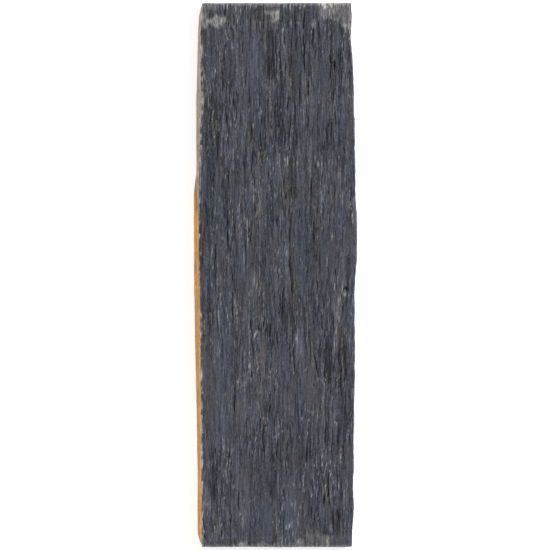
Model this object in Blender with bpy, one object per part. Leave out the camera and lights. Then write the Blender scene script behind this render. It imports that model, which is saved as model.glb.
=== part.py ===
"""Riven slate slab: one stone, split along its grain and sawn square at both ends.

Metres, +Z up. The slab lies on its back with its riven front face up and its length along Y.
The origin is the middle of the ground under it: the back's flat cleavage plane is Z = 0.
"""

import bmesh
import bpy
import numpy as np
from mathutils import Vector, noise

# Driving dimensions
LENGTH = 1.000
THICKNESS = 0.040
HALF_LENGTH = LENGTH / 2

# Plan outline, as (place along Y, place along X), from the foot to the head.
LEFT_ARRIS = (
    (-0.500, -0.1340), (-0.488, -0.1350), (-0.320, -0.1355), (-0.230, -0.1365),
    (-0.055, -0.1375), (0.035, -0.1400), (0.130, -0.1400), (0.255, -0.1380),
    (0.320, -0.1345), (0.390, -0.1370), (0.450, -0.1365), (0.500, -0.1340),
)
LEFT_FLANK = (
    (-0.500, -0.1345), (-0.492, -0.1390), (-0.478, -0.1430), (-0.320, -0.1437),
    (-0.230, -0.1455), (-0.138, -0.1475), (-0.046, -0.1490), (0.027, -0.1500),
    (0.147, -0.1500), (0.169, -0.1480), (0.190, -0.1455), (0.321, -0.1455),
    (0.389, -0.1437), (0.455, -0.1420), (0.479, -0.1400), (0.500, -0.1345),
)
RIGHT_FLANK = (
    (-0.500, 0.1410), (-0.471, 0.1425), (-0.446, 0.1440), (-0.272, 0.1445),
    (-0.206, 0.1455), (-0.148, 0.1470), (-0.118, 0.1460), (-0.030, 0.1460),
    (0.027, 0.1495), (0.103, 0.1500), (0.213, 0.1465), (0.301, 0.1450),
    (0.367, 0.1430), (0.411, 0.1400), (0.433, 0.1390), (0.455, 0.1405),
    (0.500, 0.1400),
)

# Sides: how the section runs down from the front arris to the back.
RIGHT_ARRIS_SETBACK = 0.0012
RIGHT_UNDERCUT = 0.0065
RIGHT_LAYER_STEP = 0.0018
RIGHT_BULGE_HEIGHT = 0.4
LEFT_JOINT_HEIGHT = 0.6
LEFT_BULGE_HEIGHT = 0.2
LEFT_UNDERCUT = 0.0030

# Front face: how far the mean level lies below the highest spots, and its relief.
FACE_DROP = 0.0034
SWELL = 0.0018
SWELL_SIZE = (0.130, 0.380)
RIB = 0.0017
RIB_SIZE = (0.017, 0.210)
FINE_RIB = 0.0011
FINE_RIB_SIZE = (0.0080, 0.085)
GRAIN_WANDER = 0.0055
GRAIN_WANDER_SIZE = (0.160, 0.270)
LEDGE = 0.0010
LEDGE_SIZE = (0.048, 0.330)
LEDGES_PER_UNIT = 3.0

# Dusty shallow spalls where the ends were knocked: X from, X to, depth along Y, fall in Z.
HEAD_SPALLS = (
    (-0.136, -0.087, 0.032, 0.0020),
    (-0.044, 0.016, 0.034, 0.0016),
    (0.079, 0.142, 0.040, 0.0022),
)
FOOT_SPALLS = (
    (-0.060, 0.000, 0.010, 0.0014),
    (0.042, 0.101, 0.030, 0.0018),
)

# Deeper cleavage hollows and split lines: X, Y, half width, half length, fall in Z.
HOLLOWS = (
    (-0.008, 0.413, 0.011, 0.046, 0.0016),
    (-0.009, -0.379, 0.012, 0.038, 0.0017),
    (0.112, -0.452, 0.010, 0.032, 0.0016),
    (0.086, -0.138, 0.014, 0.042, 0.0015),
    (0.069, -0.195, 0.013, 0.044, 0.0014),
    (-0.031, -0.152, 0.012, 0.030, 0.0013),
    (0.053, 0.405, 0.004, 0.040, 0.0022),
    (0.071, 0.437, 0.004, 0.020, 0.0022),
    (0.061, 0.343, 0.004, 0.018, 0.0020),
    (0.112, 0.386, 0.004, 0.014, 0.0020),
    (0.094, -0.415, 0.004, 0.018, 0.0020),
)
PITS = (
    (0.129, -0.026, 0.0060, 0.0035),
    (-0.031, -0.095, 0.0055, 0.0030),
    (0.110, -0.267, 0.0060, 0.0022),
    (0.137, -0.258, 0.0050, 0.0020),
)

# Chipping of the arrises: width of the worn band and the deepest fall.
ARRIS_BAND = 0.007
ARRIS_FALL = 0.0022
END_BAND = 0.012
END_FALL = 0.0018
CHIP_SIZE = 0.021

# Back: one flat cleavage plane with thin layers split off it towards its rim.
BACK_LAYER = 0.0013
BACK_SIZE = (0.062, 0.310)
BACK_RAGGED_SIZE = (0.018, 0.070)
BACK_FLAT_LEVEL = 0.20
BACK_LAYERS_PER_UNIT = 4.0

# Facets: cells round the section from the left arris, and stations along the slab.
SECTION_CELLS = {"front": 60, "right": 5, "back": 18, "left": 5}
RUN_STATIONS = 47
END_STATIONS = (0.0, 0.006, 0.016, 0.031)
SHIFT_ACROSS = 0.26
SHIFT_ALONG = 0.36

# Stone colour and finish
SLATE_COLOUR = (0.072, 0.074, 0.086, 1.0)
SLATE_ROUGHNESS = 0.62


def clear_scene():
    """Remove the objects that a new file starts with."""
    for old in list(bpy.data.objects):
        bpy.data.objects.remove(old)


def along(outline, y):
    """X of a plan outline at Y."""
    places, offsets = zip(*outline)
    return float(np.interp(y, places, offsets))


def ramp(value, low, high):
    """Smooth step from 0 at low to 1 at high."""
    share = min(max((value - low) / (high - low), 0.0), 1.0)
    return share * share * (3.0 - 2.0 * share)


def grain(x, y, size, seed):
    """Noise from -1 to 1, stretched to the given size across and along the slab."""
    return noise.noise(Vector((x / size[0], y / size[1], seed)))


def spall_fall(x, depth_in, spalls):
    """Fall of the spalls at one end, depth_in metres from that end."""
    fall = 0.0
    for low, high, reach, depth in spalls:
        inside = ramp(x, low - 0.003, low + 0.002) * ramp(-x, -high - 0.003, -high + 0.002)
        ragged = reach * (1.0 + 0.16 * grain(x, 0.0, (0.013, 1.0), 17.0))
        fall = max(fall, depth * inside * (1.0 - ramp(depth_in, ragged - 0.004, ragged + 0.003)))
    return fall


def hollow_fall(x, y):
    """Fall of the long hollows and of the pits."""
    fall = 0.0
    for centre_x, centre_y, half_width, half_length, depth in HOLLOWS:
        off = ((x - centre_x) / half_width) ** 2 + ((y - centre_y) / half_length) ** 2
        fall = max(fall, depth * (1.0 - ramp(off, 0.25, 1.4)))
    for centre_x, centre_y, radius, depth in PITS:
        off = ((x - centre_x) ** 2 + (y - centre_y) ** 2) ** 0.5
        fall = max(fall, depth * (1.0 - ramp(off, 0.3 * radius, 1.2 * radius)))
    return fall


def arris_fall(x, y):
    """Fall of the worn and chipped bands beside the four front arrises."""
    from_side = min(x - along(LEFT_ARRIS, y), along(RIGHT_FLANK, y) - RIGHT_ARRIS_SETBACK - x)
    from_end = HALF_LENGTH - abs(y)
    chip = 0.55 + 0.75 * grain(x, y, (CHIP_SIZE, CHIP_SIZE), 41.0)
    side = ARRIS_FALL * (1.0 - ramp(from_side, 0.0, ARRIS_BAND))
    end = END_FALL * (1.0 - ramp(from_end, 0.0, END_BAND))
    return max(chip, 0.1) * (side + end)


def front_height(x, y):
    """Z of the riven front face."""
    across = x + GRAIN_WANDER * grain(x, y, GRAIN_WANDER_SIZE, 3.0)
    swell = SWELL * grain(x, y, SWELL_SIZE, 5.0)
    ribs = RIB * grain(across, y, RIB_SIZE, 8.0) + FINE_RIB * grain(across, y, FINE_RIB_SIZE, 12.0)
    field = LEDGES_PER_UNIT * grain(across, y, LEDGE_SIZE, 21.0)
    step = np.floor(field) + ramp(field - np.floor(field), 0.80, 1.0)
    relief = swell + ribs + LEDGE * step
    fall = hollow_fall(x, y) + arris_fall(x, y)
    fall += spall_fall(x, HALF_LENGTH - y, HEAD_SPALLS)
    fall += spall_fall(x, HALF_LENGTH + y, FOOT_SPALLS)
    return min(THICKNESS, THICKNESS - FACE_DROP + relief - fall)


def back_height(x, y):
    """Z of the back: 0 on the flat plane, and up in thin layers towards the rim."""
    rim = 0.65 * abs(x / 0.150) ** 4 + 0.35 * abs(y / HALF_LENGTH) ** 8
    cover = grain(x, y, BACK_SIZE, 31.0) + 0.22 * grain(x, y, BACK_RAGGED_SIZE, 37.0)
    level = max(BACK_LAYERS_PER_UNIT * (cover + rim - BACK_FLAT_LEVEL), 0.0)
    return BACK_LAYER * (np.floor(level) + ramp(level - np.floor(level), 0.70, 1.0))


def left_joint(y):
    """X of the seam between the two facets of the left side."""
    seam = 0.45 + 0.40 * ramp(y, 0.02, 0.19)
    return along(LEFT_ARRIS, y) * (1.0 - seam) + along(LEFT_FLANK, y) * seam


def left_side(share, y):
    """A point on the left side, a natural joint in two facets, from the back up to the arris."""
    arris = Vector((along(LEFT_ARRIS, y), y, front_height(along(LEFT_ARRIS, y), y)))
    flank = along(LEFT_FLANK, y)
    back_x = flank + min(LEFT_UNDERCUT, along(LEFT_ARRIS, y) - flank)
    heights = (0.0, LEFT_BULGE_HEIGHT, LEFT_JOINT_HEIGHT, 1.0)
    offsets = (back_x, flank, left_joint(y), arris.x)
    low = back_height(back_x, y)
    x = float(np.interp(share, heights, offsets))
    return Vector((x, y, low + (arris.z - low) * share))


def right_side(share, y):
    """A point on the right side, broken across the layers, from the arris down to the back."""
    arris_x = along(RIGHT_FLANK, y) - RIGHT_ARRIS_SETBACK
    back_x = along(RIGHT_FLANK, y) - RIGHT_UNDERCUT
    top = front_height(arris_x, y)
    low = back_height(back_x, y)
    depths = (0.0, RIGHT_BULGE_HEIGHT, 1.0)
    inward = float(np.interp(share, depths, (RIGHT_ARRIS_SETBACK, 0.0, RIGHT_UNDERCUT)))
    layer = RIGHT_LAYER_STEP * ramp(grain(share, y, (0.21, 0.060), 52.0), -0.3, 0.3)
    covered = ramp(share, 0.0, 0.3) * ramp(1.0 - share, 0.0, 0.15)
    return Vector((along(RIGHT_FLANK, y) - inward - layer * covered, y, top + (low - top) * share))


def section_places():
    """Zone and share of each corner of the section, once round from the left arris."""
    return [(zone, cell / cells) for zone, cells in SECTION_CELLS.items() for cell in range(cells)]


def section_point(zone, share, y):
    """The point of the section at Y that a zone and a share from 0 to 1 name."""
    if zone == "right":
        return right_side(share, y)
    if zone == "left":
        return left_side(share, y)
    left_x = left_side(0.0, y).x if zone == "back" else along(LEFT_ARRIS, y)
    right_x = right_side(1.0 if zone == "back" else 0.0, y).x
    if zone == "back":
        x = right_x + (left_x - right_x) * share
        return Vector((x, y, back_height(x, y)))
    x = left_x + (right_x - left_x) * share
    return Vector((x, y, front_height(x, y)))


def stations():
    """Y of each section, closer together at the sawn ends."""
    inner = HALF_LENGTH - END_STATIONS[-1]
    run = [-inner + 2 * inner * step / RUN_STATIONS for step in range(1, RUN_STATIONS)]
    ends = [HALF_LENGTH - inset for inset in END_STATIONS]
    return [-y for y in ends] + run + ends[::-1]


def broken_up(places, index, rows, row):
    """A corner's share and Y, shifted within its cell so that the facets don't line up."""
    zone, share = places[index]
    y = rows[row]
    if row in (0, len(rows) - 1):
        return zone, share, y
    shift = noise.cell_vector(Vector((index + 0.5, row + 0.5, 0.5)))
    room = min(rows[row + 1] - y, y - rows[row - 1])
    y += SHIFT_ALONG * room * (2.0 * shift.y - 1.0)
    if zone in ("front", "back") and share > 0.0:
        share += SHIFT_ACROSS / SECTION_CELLS[zone] * (2.0 * shift.x - 1.0)
    return zone, share, y


def pull_to_pits(bm):
    """Move the front corner nearest each pit onto the pit's centre, so that it has its depth."""
    front = [vert for vert in bm.verts if vert.co.z > 0.6 * THICKNESS]
    for x, y, _, _ in PITS:
        nearest = min(front, key=lambda vert: (vert.co.xy - Vector((x, y))).length)
        nearest.co = Vector((x, y, front_height(x, y)))


def build_slab():
    """Extrude the sawn foot section along the slab, station by station, and shape each one."""
    places = section_places()
    rows = stations()
    bm = bmesh.new()
    corner = bm.verts.layers.int.new("corner")
    foot = []
    for index, (zone, share) in enumerate(places):
        vert = bm.verts.new(section_point(zone, share, rows[0]))
        vert[corner] = index
        foot.append(vert)
    end = bm.faces.new(foot)
    for row in range(1, len(rows)):
        covered = end
        grown = bmesh.ops.extrude_face_region(bm, geom=[covered])["geom"]
        end = next(item for item in grown if isinstance(item, bmesh.types.BMFace))
        for vert in end.verts:
            vert.co = section_point(*broken_up(places, vert[corner], rows, row))
        if row > 1:
            bmesh.ops.delete(bm, geom=[covered], context="FACES_ONLY")
    pull_to_pits(bm)
    skin = [face for face in bm.faces if len(face.verts) == 4]
    bmesh.ops.triangulate(bm, faces=skin, quad_method="SHORT_EDGE")
    bmesh.ops.recalc_face_normals(bm, faces=bm.faces)
    mesh = bpy.data.meshes.new("slate_slab")
    bm.to_mesh(mesh)
    bm.free()
    slab = bpy.data.objects.new("slate_slab", mesh)
    bpy.context.scene.collection.objects.link(slab)
    return slab


def slate_material():
    """Blue-grey slate, dull and rough."""
    material = bpy.data.materials.new("slate")
    material.use_nodes = True
    shader = material.node_tree.nodes["Principled BSDF"]
    shader.inputs["Base Color"].default_value = SLATE_COLOUR
    shader.inputs["Roughness"].default_value = SLATE_ROUGHNESS
    shader.inputs["Metallic"].default_value = 0.0
    return material


clear_scene()
build_slab().data.materials.append(slate_material())
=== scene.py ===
"""Riven slate slab: one stone, split along its grain and sawn at both ends, on a pale studio floor.

Metres, +Z up. The slab lies on its back, with its riven face up and its length along Y.
"""

import math

import bpy
import numpy as np
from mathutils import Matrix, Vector, noise


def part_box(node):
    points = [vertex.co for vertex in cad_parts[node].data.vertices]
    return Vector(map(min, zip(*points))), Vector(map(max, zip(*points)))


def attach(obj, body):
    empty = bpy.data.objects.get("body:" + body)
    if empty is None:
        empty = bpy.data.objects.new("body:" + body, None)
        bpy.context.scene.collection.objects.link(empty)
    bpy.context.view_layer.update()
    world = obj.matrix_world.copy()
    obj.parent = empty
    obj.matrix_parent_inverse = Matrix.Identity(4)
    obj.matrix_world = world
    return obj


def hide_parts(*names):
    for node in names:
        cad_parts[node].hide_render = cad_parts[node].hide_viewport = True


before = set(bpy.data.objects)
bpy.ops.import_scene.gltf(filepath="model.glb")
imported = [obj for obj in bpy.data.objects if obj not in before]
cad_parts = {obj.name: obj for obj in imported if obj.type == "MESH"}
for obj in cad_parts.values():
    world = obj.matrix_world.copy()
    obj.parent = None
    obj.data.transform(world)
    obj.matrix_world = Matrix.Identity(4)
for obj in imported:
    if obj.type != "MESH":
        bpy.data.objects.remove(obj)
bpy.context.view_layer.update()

bl_info = {
    "name": "Riven Slate Slab",
    "version": (1, 0, 0),
    "blender": (4, 5, 0),
    "location": "3D View > Sidebar > Slate",
    "description": "Models a riven slate slab with a stained joint side, and a soft studio round it",
    "category": "Add Mesh",
}

BODY = "root"
NODE = "slate_slab"

# The slab's block, from the frame
LOW, HIGH = (Vector(corner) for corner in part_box(NODE))
LENGTH = HIGH.y - LOW.y
HALF_LENGTH = LENGTH / 2
THICKNESS = 0.040

# Plan outline, as (place along Y, place along X), from the foot to the head.
LEFT_ARRIS = (
    (-0.500, -0.1340), (-0.488, -0.1350), (-0.320, -0.1355), (-0.230, -0.1365),
    (-0.055, -0.1375), (0.035, -0.1400), (0.130, -0.1400), (0.255, -0.1380),
    (0.320, -0.1345), (0.390, -0.1370), (0.450, -0.1365), (0.500, -0.1340),
)
LEFT_FLANK = (
    (-0.500, -0.1345), (-0.492, -0.1390), (-0.478, -0.1430), (-0.320, -0.1437),
    (-0.230, -0.1455), (-0.138, -0.1475), (-0.046, -0.1490), (0.027, -0.1500),
    (0.147, -0.1500), (0.169, -0.1480), (0.190, -0.1455), (0.321, -0.1455),
    (0.389, -0.1437), (0.455, -0.1420), (0.479, -0.1400), (0.500, -0.1345),
)
RIGHT_FLANK = (
    (-0.500, 0.1410), (-0.471, 0.1425), (-0.446, 0.1440), (-0.272, 0.1445),
    (-0.206, 0.1455), (-0.148, 0.1470), (-0.118, 0.1460), (-0.030, 0.1460),
    (0.027, 0.1495), (0.103, 0.1500), (0.213, 0.1465), (0.301, 0.1450),
    (0.367, 0.1430), (0.411, 0.1400), (0.433, 0.1390), (0.455, 0.1405),
    (0.500, 0.1400),
)

# Sides: how the section runs down from the front arris to the back.
RIGHT_ARRIS_SETBACK = 0.0012
RIGHT_UNDERCUT = 0.0065
RIGHT_LAYER_STEP = 0.0018
RIGHT_LAYER_OFFSET = 0.0016
RIGHT_BULGE_HEIGHT = 0.4
LEFT_JOINT_HEIGHT = 0.6
LEFT_BULGE_HEIGHT = 0.2
LEFT_UNDERCUT = 0.0030

# Sizes of the relief across and along the slab
SWELL_SIZE = (0.130, 0.380)
RIB_SIZE = (0.017, 0.210)
FINE_RIB_SIZE = (0.0075, 0.130)
WANDER_SIZE = (0.160, 0.270)
LEDGE_SIZE = (0.048, 0.330)
LEDGES_PER_UNIT = 3.0
FIBRE_SIZE = (0.0026, 0.034)
THREAD_SIZE = (0.0014, 0.016)
LIVELY_SIZE = (0.036, 0.110)
LIVELY_SHARE = 0.72
CALM_STRETCH = 0.45

# Dusty shallow spalls where the ends were knocked: X from, X to, depth along Y, fall in Z.
HEAD_SPALLS = (
    (-0.136, -0.087, 0.032, 0.0020),
    (-0.044, 0.016, 0.034, 0.0016),
    (0.079, 0.142, 0.040, 0.0022),
)
FOOT_SPALLS = (
    (-0.060, 0.000, 0.010, 0.0014),
    (0.042, 0.101, 0.030, 0.0018),
)

# Long hollows, painted with shade: X, Y, half width, half length. Pits: X, Y, radius, fall in Z
HOLLOW_DEPTH = 0.0016
HOLLOWS = (
    (-0.0085, 0.408, 0.012, 0.048),
    (-0.0070, -0.374, 0.010, 0.046),
    (0.1105, -0.452, 0.010, 0.032),
    (0.0945, -0.164, 0.008, 0.048),
    (-0.1150, -0.382, 0.009, 0.036),
)
PITS = (
    (0.129, -0.026, 0.0060, 0.0035),
    (-0.0305, -0.100, 0.0058, 0.0036),
    (0.110, -0.267, 0.0060, 0.0022),
    (0.137, -0.258, 0.0050, 0.0020),
)
# Open split lines: X, Y at the foot end, Y at the head end, lean of X along Y, fall in Z.
CRACKS = (
    (0.0548, 0.446, 0.488, 0.040, 0.0024),
    (0.0540, 0.367, 0.441, -0.006, 0.0026),
    (0.0715, 0.430, 0.456, 0.050, 0.0034),
    (0.0690, 0.420, 0.436, 0.060, 0.0020),
    (-0.0985, -0.482, -0.467, 0.000, 0.0026),
    (-0.0844, -0.340, -0.323, 0.000, 0.0024),
    (-0.1097, -0.330, -0.317, 0.000, 0.0020),
    (-0.0801, -0.460, -0.437, 0.060, 0.0022),
    (-0.1097, -0.462, -0.450, 0.000, 0.0020),
    (0.0610, 0.327, 0.358, 0.000, 0.0022),
    (0.1085, 0.374, 0.396, 0.000, 0.0028),
    (0.1000, 0.389, 0.406, 0.000, 0.0020),
    (0.0940, -0.429, -0.401, 0.020, 0.0022),
    (-0.0610, 0.405, 0.432, 0.120, 0.0016),
    (-0.0730, 0.310, 0.342, -0.050, 0.0016),
    (0.0240, 0.300, 0.330, 0.030, 0.0016),
    (-0.0330, 0.098, 0.115, 0.000, 0.0018),
    (0.0060, 0.088, 0.108, 0.000, 0.0018),
    (0.0240, -0.325, -0.300, 0.030, 0.0016),
    (-0.0030, -0.345, -0.326, 0.000, 0.0018),
    (0.1180, -0.330, -0.270, 0.000, 0.0016),
    (-0.1100, 0.010, 0.060, 0.060, 0.0014),
    (-0.0230, -0.094, -0.074, 0.000, 0.0024),
    (0.0770, -0.193, -0.142, -0.210, 0.0022),
    (0.0950, -0.330, -0.262, 0.020, 0.0018),
    (0.0145, 0.250, 0.288, -0.030, 0.0020),
    (-0.0430, 0.185, 0.236, 0.050, 0.0020),
    (-0.0785, 0.425, 0.452, 0.000, 0.0020),
)

# Smooth facets left where a layer came off: X, Y, half width, half length, added brownness
FACET_CALM = 0.75
FACET_DEPTH = 0.0004
FACETS = (
    (0.0640, -0.2030, 0.0125, 0.0500, 0.80),
    (-0.0240, -0.1400, 0.0075, 0.0260, 0.60),
    (-0.0330, -0.0610, 0.0060, 0.0150, 0.60),
    (-0.0160, -0.0400, 0.0065, 0.0150, 0.50),
    (0.0900, 0.3600, 0.0080, 0.0380, -0.40),
    (-0.0130, -0.4400, 0.0150, 0.0240, -0.30),
)
# Zones where the grain is rougher, above 0, or calmer: X, Y, half width, half length, how much
ROUGH_ZONES = (
    (0.0860, 0.0400, 0.0330, 0.0460, -1.1), (-0.0920, -0.2550, 0.0280, 0.0640, -1.0),
    (-0.0650, -0.4050, 0.0330, 0.0400, -0.9), (-0.0130, -0.4400, 0.0200, 0.0290, -1.0),
    (0.0900, 0.3600, 0.0120, 0.0400, -1.0), (0.0200, -0.2550, 0.0250, 0.0500, -0.7),
    (-0.0100, 0.1900, 0.0500, 0.0750, 0.4), (-0.0300, 0.1000, 0.0450, 0.0350, 0.4),
    (0.0800, -0.1400, 0.0450, 0.0450, 0.2), (0.0950, -0.3800, 0.0350, 0.0550, 0.3),
    (0.0650, 0.4250, 0.0450, 0.0500, 0.5), (-0.0900, 0.3550, 0.0250, 0.0500, 0.3),
)

# Plates and slivers that overlap along the face: half widths, lengths per width, lifts per half width
PLATE_RANGES = ((0.0040, 0.0100), (8.0, 18.0), (0.05, 0.11))
SLIVER_RANGES = ((0.0009, 0.0040), (7.0, 24.0), (0.07, 0.23))
SLIVER_LEAN = 0.036
SLIVER_SWAY = 0.36
CRUSHED_SHARE = 0.40
CRUSHED_RIM = 0.0015
# Short splits, scars and small chips that are strewn: half lengths or half widths, and falls.
# Cracks and splits sway by CRACK_WAVE, with CRACK_WAVES radians of sway to a metre. They are
# painted with shade: the deeper they are beside DARK_CRACK_FALL, the darker.
CRACK_WIDTH = 0.0014
CRACK_WAVE = 0.0006
CRACK_WAVES = 190.0
DARK_CRACK_FALL = 0.0020
SPLIT_HALF_LENGTHS = (0.004, 0.048)
SPLIT_FALLS = (0.0004, 0.0017)
SPLIT_WIDTHS = (0.0007, 0.0011)
SCAR_HALF_WIDTHS = (0.0022, 0.0070)
SCAR_RATIOS = (2.0, 5.5)
SCAR_FALLS = (0.0003, 0.0008)
CHIP_RISE = 0.00030
CHIP_HALF_WIDTHS = (0.0005, 0.0011)
CHIP_HALF_LENGTHS = (0.0012, 0.0060)

# Pale chips and scratches: X, Y, half width, half length, lean of X along Y, strength
FLECKS = (
    (0.0289, 0.4627, 0.0015, 0.0074, 0.00, 0.62), (-0.0355, 0.4943, 0.0013, 0.0037, 0.00, 0.90),
    (0.0278, 0.4918, 0.0013, 0.0070, 0.05, 0.85), (0.0537, 0.4934, 0.0020, 0.0026, 0.60, 0.90),
    (-0.0244, 0.4976, 0.0013, 0.0022, 0.00, 0.90), (0.0511, 0.4155, 0.0011, 0.0040, 0.00, 0.70),
    (0.1033, 0.4721, 0.0015, 0.0022, 0.20, 0.95), (0.1020, 0.4629, 0.0011, 0.0018, 0.00, 0.80),
    (0.1217, 0.4578, 0.0011, 0.0018, 0.00, 0.95), (0.1015, 0.4443, 0.0015, 0.0033, 0.00, 0.70),
    (0.0719, 0.4682, 0.0011, 0.0017, 0.00, 0.85), (0.0684, 0.4653, 0.0009, 0.0029, -0.50, 0.80),
    (-0.1349, -0.3177, 0.0015, 0.0059, 0.00, 0.80), (-0.1340, -0.3460, 0.0013, 0.0092, 0.10, 0.90),
    (-0.1299, -0.3662, 0.0011, 0.0055, 0.30, 0.55), (-0.0936, -0.3184, 0.0015, 0.0018, 0.00, 0.80),
    (-0.0759, -0.3894, 0.0018, 0.0035, 0.10, 0.60), (-0.0640, -0.4397, 0.0011, 0.0029, 0.20, 0.85),
    (-0.0993, -0.4471, 0.0017, 0.0028, 0.00, 0.55), (-0.0970, -0.4820, 0.0009, 0.0037, 0.10, 0.85),
    (0.0267, -0.4609, 0.0013, 0.0062, 0.20, 0.90), (0.0478, -0.4728, 0.0015, 0.0037, 0.00, 0.60),
    (0.0193, -0.4875, 0.0011, 0.0059, 0.10, 0.70), (0.0364, -0.4269, 0.0011, 0.0129, 0.00, 0.60),
    (0.1013, -0.4664, 0.0011, 0.0064, 0.00, 0.60), (0.1239, -0.0244, 0.0011, 0.0074, 0.15, 0.62),
    (0.1276, -0.0359, 0.0022, 0.0026, -1.00, 0.75), (0.1171, -0.0473, 0.0011, 0.0077, 0.00, 0.80),
    (0.1176, -0.0795, 0.0011, 0.0074, 0.00, 0.75), (0.0405, -0.1220, 0.0010, 0.0260, 0.02, 0.75),
    (-0.1162, 0.0418, 0.0013, 0.0151, 0.15, 0.55), (-0.0386, -0.0096, 0.0013, 0.0101, 0.00, 0.75),
    (-0.0327, -0.0170, 0.0009, 0.0129, 0.20, 0.70), (0.1419, 0.1089, 0.0018, 0.0074, 0.00, 0.85),
    (0.1430, 0.0988, 0.0015, 0.0037, 0.00, 0.80), (0.1163, 0.1098, 0.0011, 0.0033, 0.00, 0.70),
    (-0.0004, 0.1466, 0.0018, 0.0037, 0.00, 0.60), (-0.0342, 0.1098, 0.0011, 0.0048, 0.25, 0.80),
    (-0.0601, 0.0984, 0.0033, 0.0018, 0.00, 0.45), (0.1085, -0.2600, 0.0011, 0.0080, 0.05, 0.60),
    (0.1380, -0.2560, 0.0012, 0.0040, 0.60, 0.75), (0.0475, -0.1370, 0.0009, 0.0200, 0.00, 0.50),
    (0.1122, -0.2720, 0.0015, 0.0050, -0.90, 0.95),
    (0.0680, -0.1220, 0.0009, 0.0200, 0.02, 0.60), (0.1085, -0.1280, 0.0011, 0.0180, 0.00, 0.70),
    (-0.1035, -0.0800, 0.0010, 0.0140, -0.10, 0.70), (-0.0965, -0.1060, 0.0009, 0.0120, 0.00, 0.50),
    (-0.1325, 0.4100, 0.0011, 0.0130, -0.05, 0.65), (-0.1300, 0.3700, 0.0010, 0.0120, -0.10, 0.60),
    (-0.1258, 0.3340, 0.0012, 0.0100, 0.25, 0.75), (-0.1340, 0.3450, 0.0016, 0.0026, 0.00, 0.90),
    (-0.1315, 0.3180, 0.0012, 0.0160, 0.05, 0.60), (-0.1336, 0.3635, 0.0015, 0.0035, 0.50, 0.90),
    (-0.0368, -0.1100, 0.0019, 0.0090, 0.45, 0.80), (-0.0345, -0.1070, 0.0015, 0.0050, 0.45, 0.60),
    (0.0042, -0.2945, 0.0016, 0.0060, 1.50, 0.45), (0.0860, -0.1944, 0.0012, 0.0100, -0.90, 0.60),
)
# Clusters of small chips: X, Y, spread in X, spread in Y
FLECK_CLUSTERS = (
    (-0.031, 0.165, 0.012, 0.032), (0.037, -0.395, 0.014, 0.030), (0.068, -0.254, 0.012, 0.006),
    (-0.129, -0.420, 0.004, 0.022), (0.110, 0.120, 0.014, 0.040), (0.000, 0.495, 0.060, 0.004),
)

# Zones with a shade of their own: X, Y, half width, half length, added brownness, added lightness
SHADED_ZONES = (
    (-0.0380, 0.393, 0.007, 0.060, -0.50, 0.52), (-0.0305, 0.475, 0.014, 0.016, 0.60, -0.05),
    (-0.0890, 0.357, 0.009, 0.055, 0.00, -0.26), (0.0580, 0.400, 0.006, 0.050, 0.00, -0.20),
    (0.1130, 0.387, 0.007, 0.030, 0.00, -0.22), (0.0640, 0.320, 0.006, 0.035, 0.00, 0.20),
    (0.1160, 0.283, 0.008, 0.045, -0.10, 0.26), (-0.0130, 0.246, 0.006, 0.035, 0.00, 0.24),
    (0.0090, 0.272, 0.008, 0.030, 0.00, -0.20), (0.0790, 0.253, 0.007, 0.060, 0.20, -0.20),
    (-0.1200, 0.190, 0.010, 0.070, -0.20, -0.20), (0.0330, 0.180, 0.008, 0.040, 0.00, -0.24),
    (-0.0460, 0.173, 0.008, 0.030, 0.20, 0.24), (0.1160, 0.179, 0.006, 0.025, 0.20, 0.28),
    (-0.0870, 0.130, 0.008, 0.050, -0.30, -0.30), (-0.0065, 0.136, 0.007, 0.040, 0.00, -0.30),
    (-0.0370, 0.106, 0.006, 0.030, 0.20, 0.28), (-0.0620, 0.104, 0.005, 0.022, 0.20, 0.22),
    (0.0670, 0.056, 0.010, 0.060, 0.10, -0.30), (0.0210, 0.008, 0.006, 0.050, 0.00, 0.26),
    (0.1340, 0.008, 0.006, 0.030, 0.00, -0.34), (-0.0220, 0.014, 0.005, 0.025, 0.00, -0.26),
    (-0.0400, -0.017, 0.007, 0.025, 0.10, 0.50), (0.1130, -0.072, 0.006, 0.050, 0.10, 0.46),
    (-0.1260, -0.072, 0.008, 0.050, 0.00, -0.30), (0.0730, -0.084, 0.005, 0.035, 0.00, -0.30),
    (0.0605, -0.084, 0.004, 0.030, 0.00, 0.24), (0.0460, -0.127, 0.010, 0.040, -0.30, 0.22),
    (0.1220, -0.158, 0.010, 0.050, 0.30, -0.30), (-0.0250, -0.158, 0.008, 0.040, 0.40, 0.26),
    (-0.1010, -0.164, 0.010, 0.035, 0.00, 0.36), (-0.0370, -0.200, 0.007, 0.030, 0.00, -0.30),
    (-0.0620, -0.225, 0.010, 0.050, 0.00, 0.38), (-0.1010, -0.262, 0.015, 0.050, -0.10, 0.28),
    (0.0690, -0.195, 0.011, 0.042, 0.50, 0.12), (0.1040, -0.280, 0.008, 0.030, 0.20, 0.26),
    (-0.0590, -0.416, 0.012, 0.040, 0.00, 0.26), (0.0270, -0.390, 0.007, 0.035, -0.20, 0.26),
    # The first zone here lies over the first hollow and adds to its painted shade.
    (-0.0085, 0.410, 0.009, 0.045, 0.00, -0.16), (0.0120, -0.440, 0.006, 0.030, 0.00, -0.30),
    (0.0250, -0.450, 0.014, 0.040, -0.30, 0.10),
)
# How much of the zones' lightness reaches the stone, and how much painted shade darkens the hollows
ZONE_LIGHT = 1.4
HOLLOW_SHADE = 0.58
# Spots of rust beside the large split at the head: their X, their width to their length, and the
# Y and strength of each
RUST_SPOT_X = 0.0615
RUST_SPOT_SHAPE = 0.4
RUST_SPOTS = ((0.3160, 0.52), (0.3420, 0.36))

# Dust along the left arris, as (place along Y, how much of it there is)
ARRIS_DUST = ((-0.500, 0.28), (-0.150, 0.26), (-0.060, -0.12), (0.090, -0.12), (0.140, 0.12), (0.500, 0.12))
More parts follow.
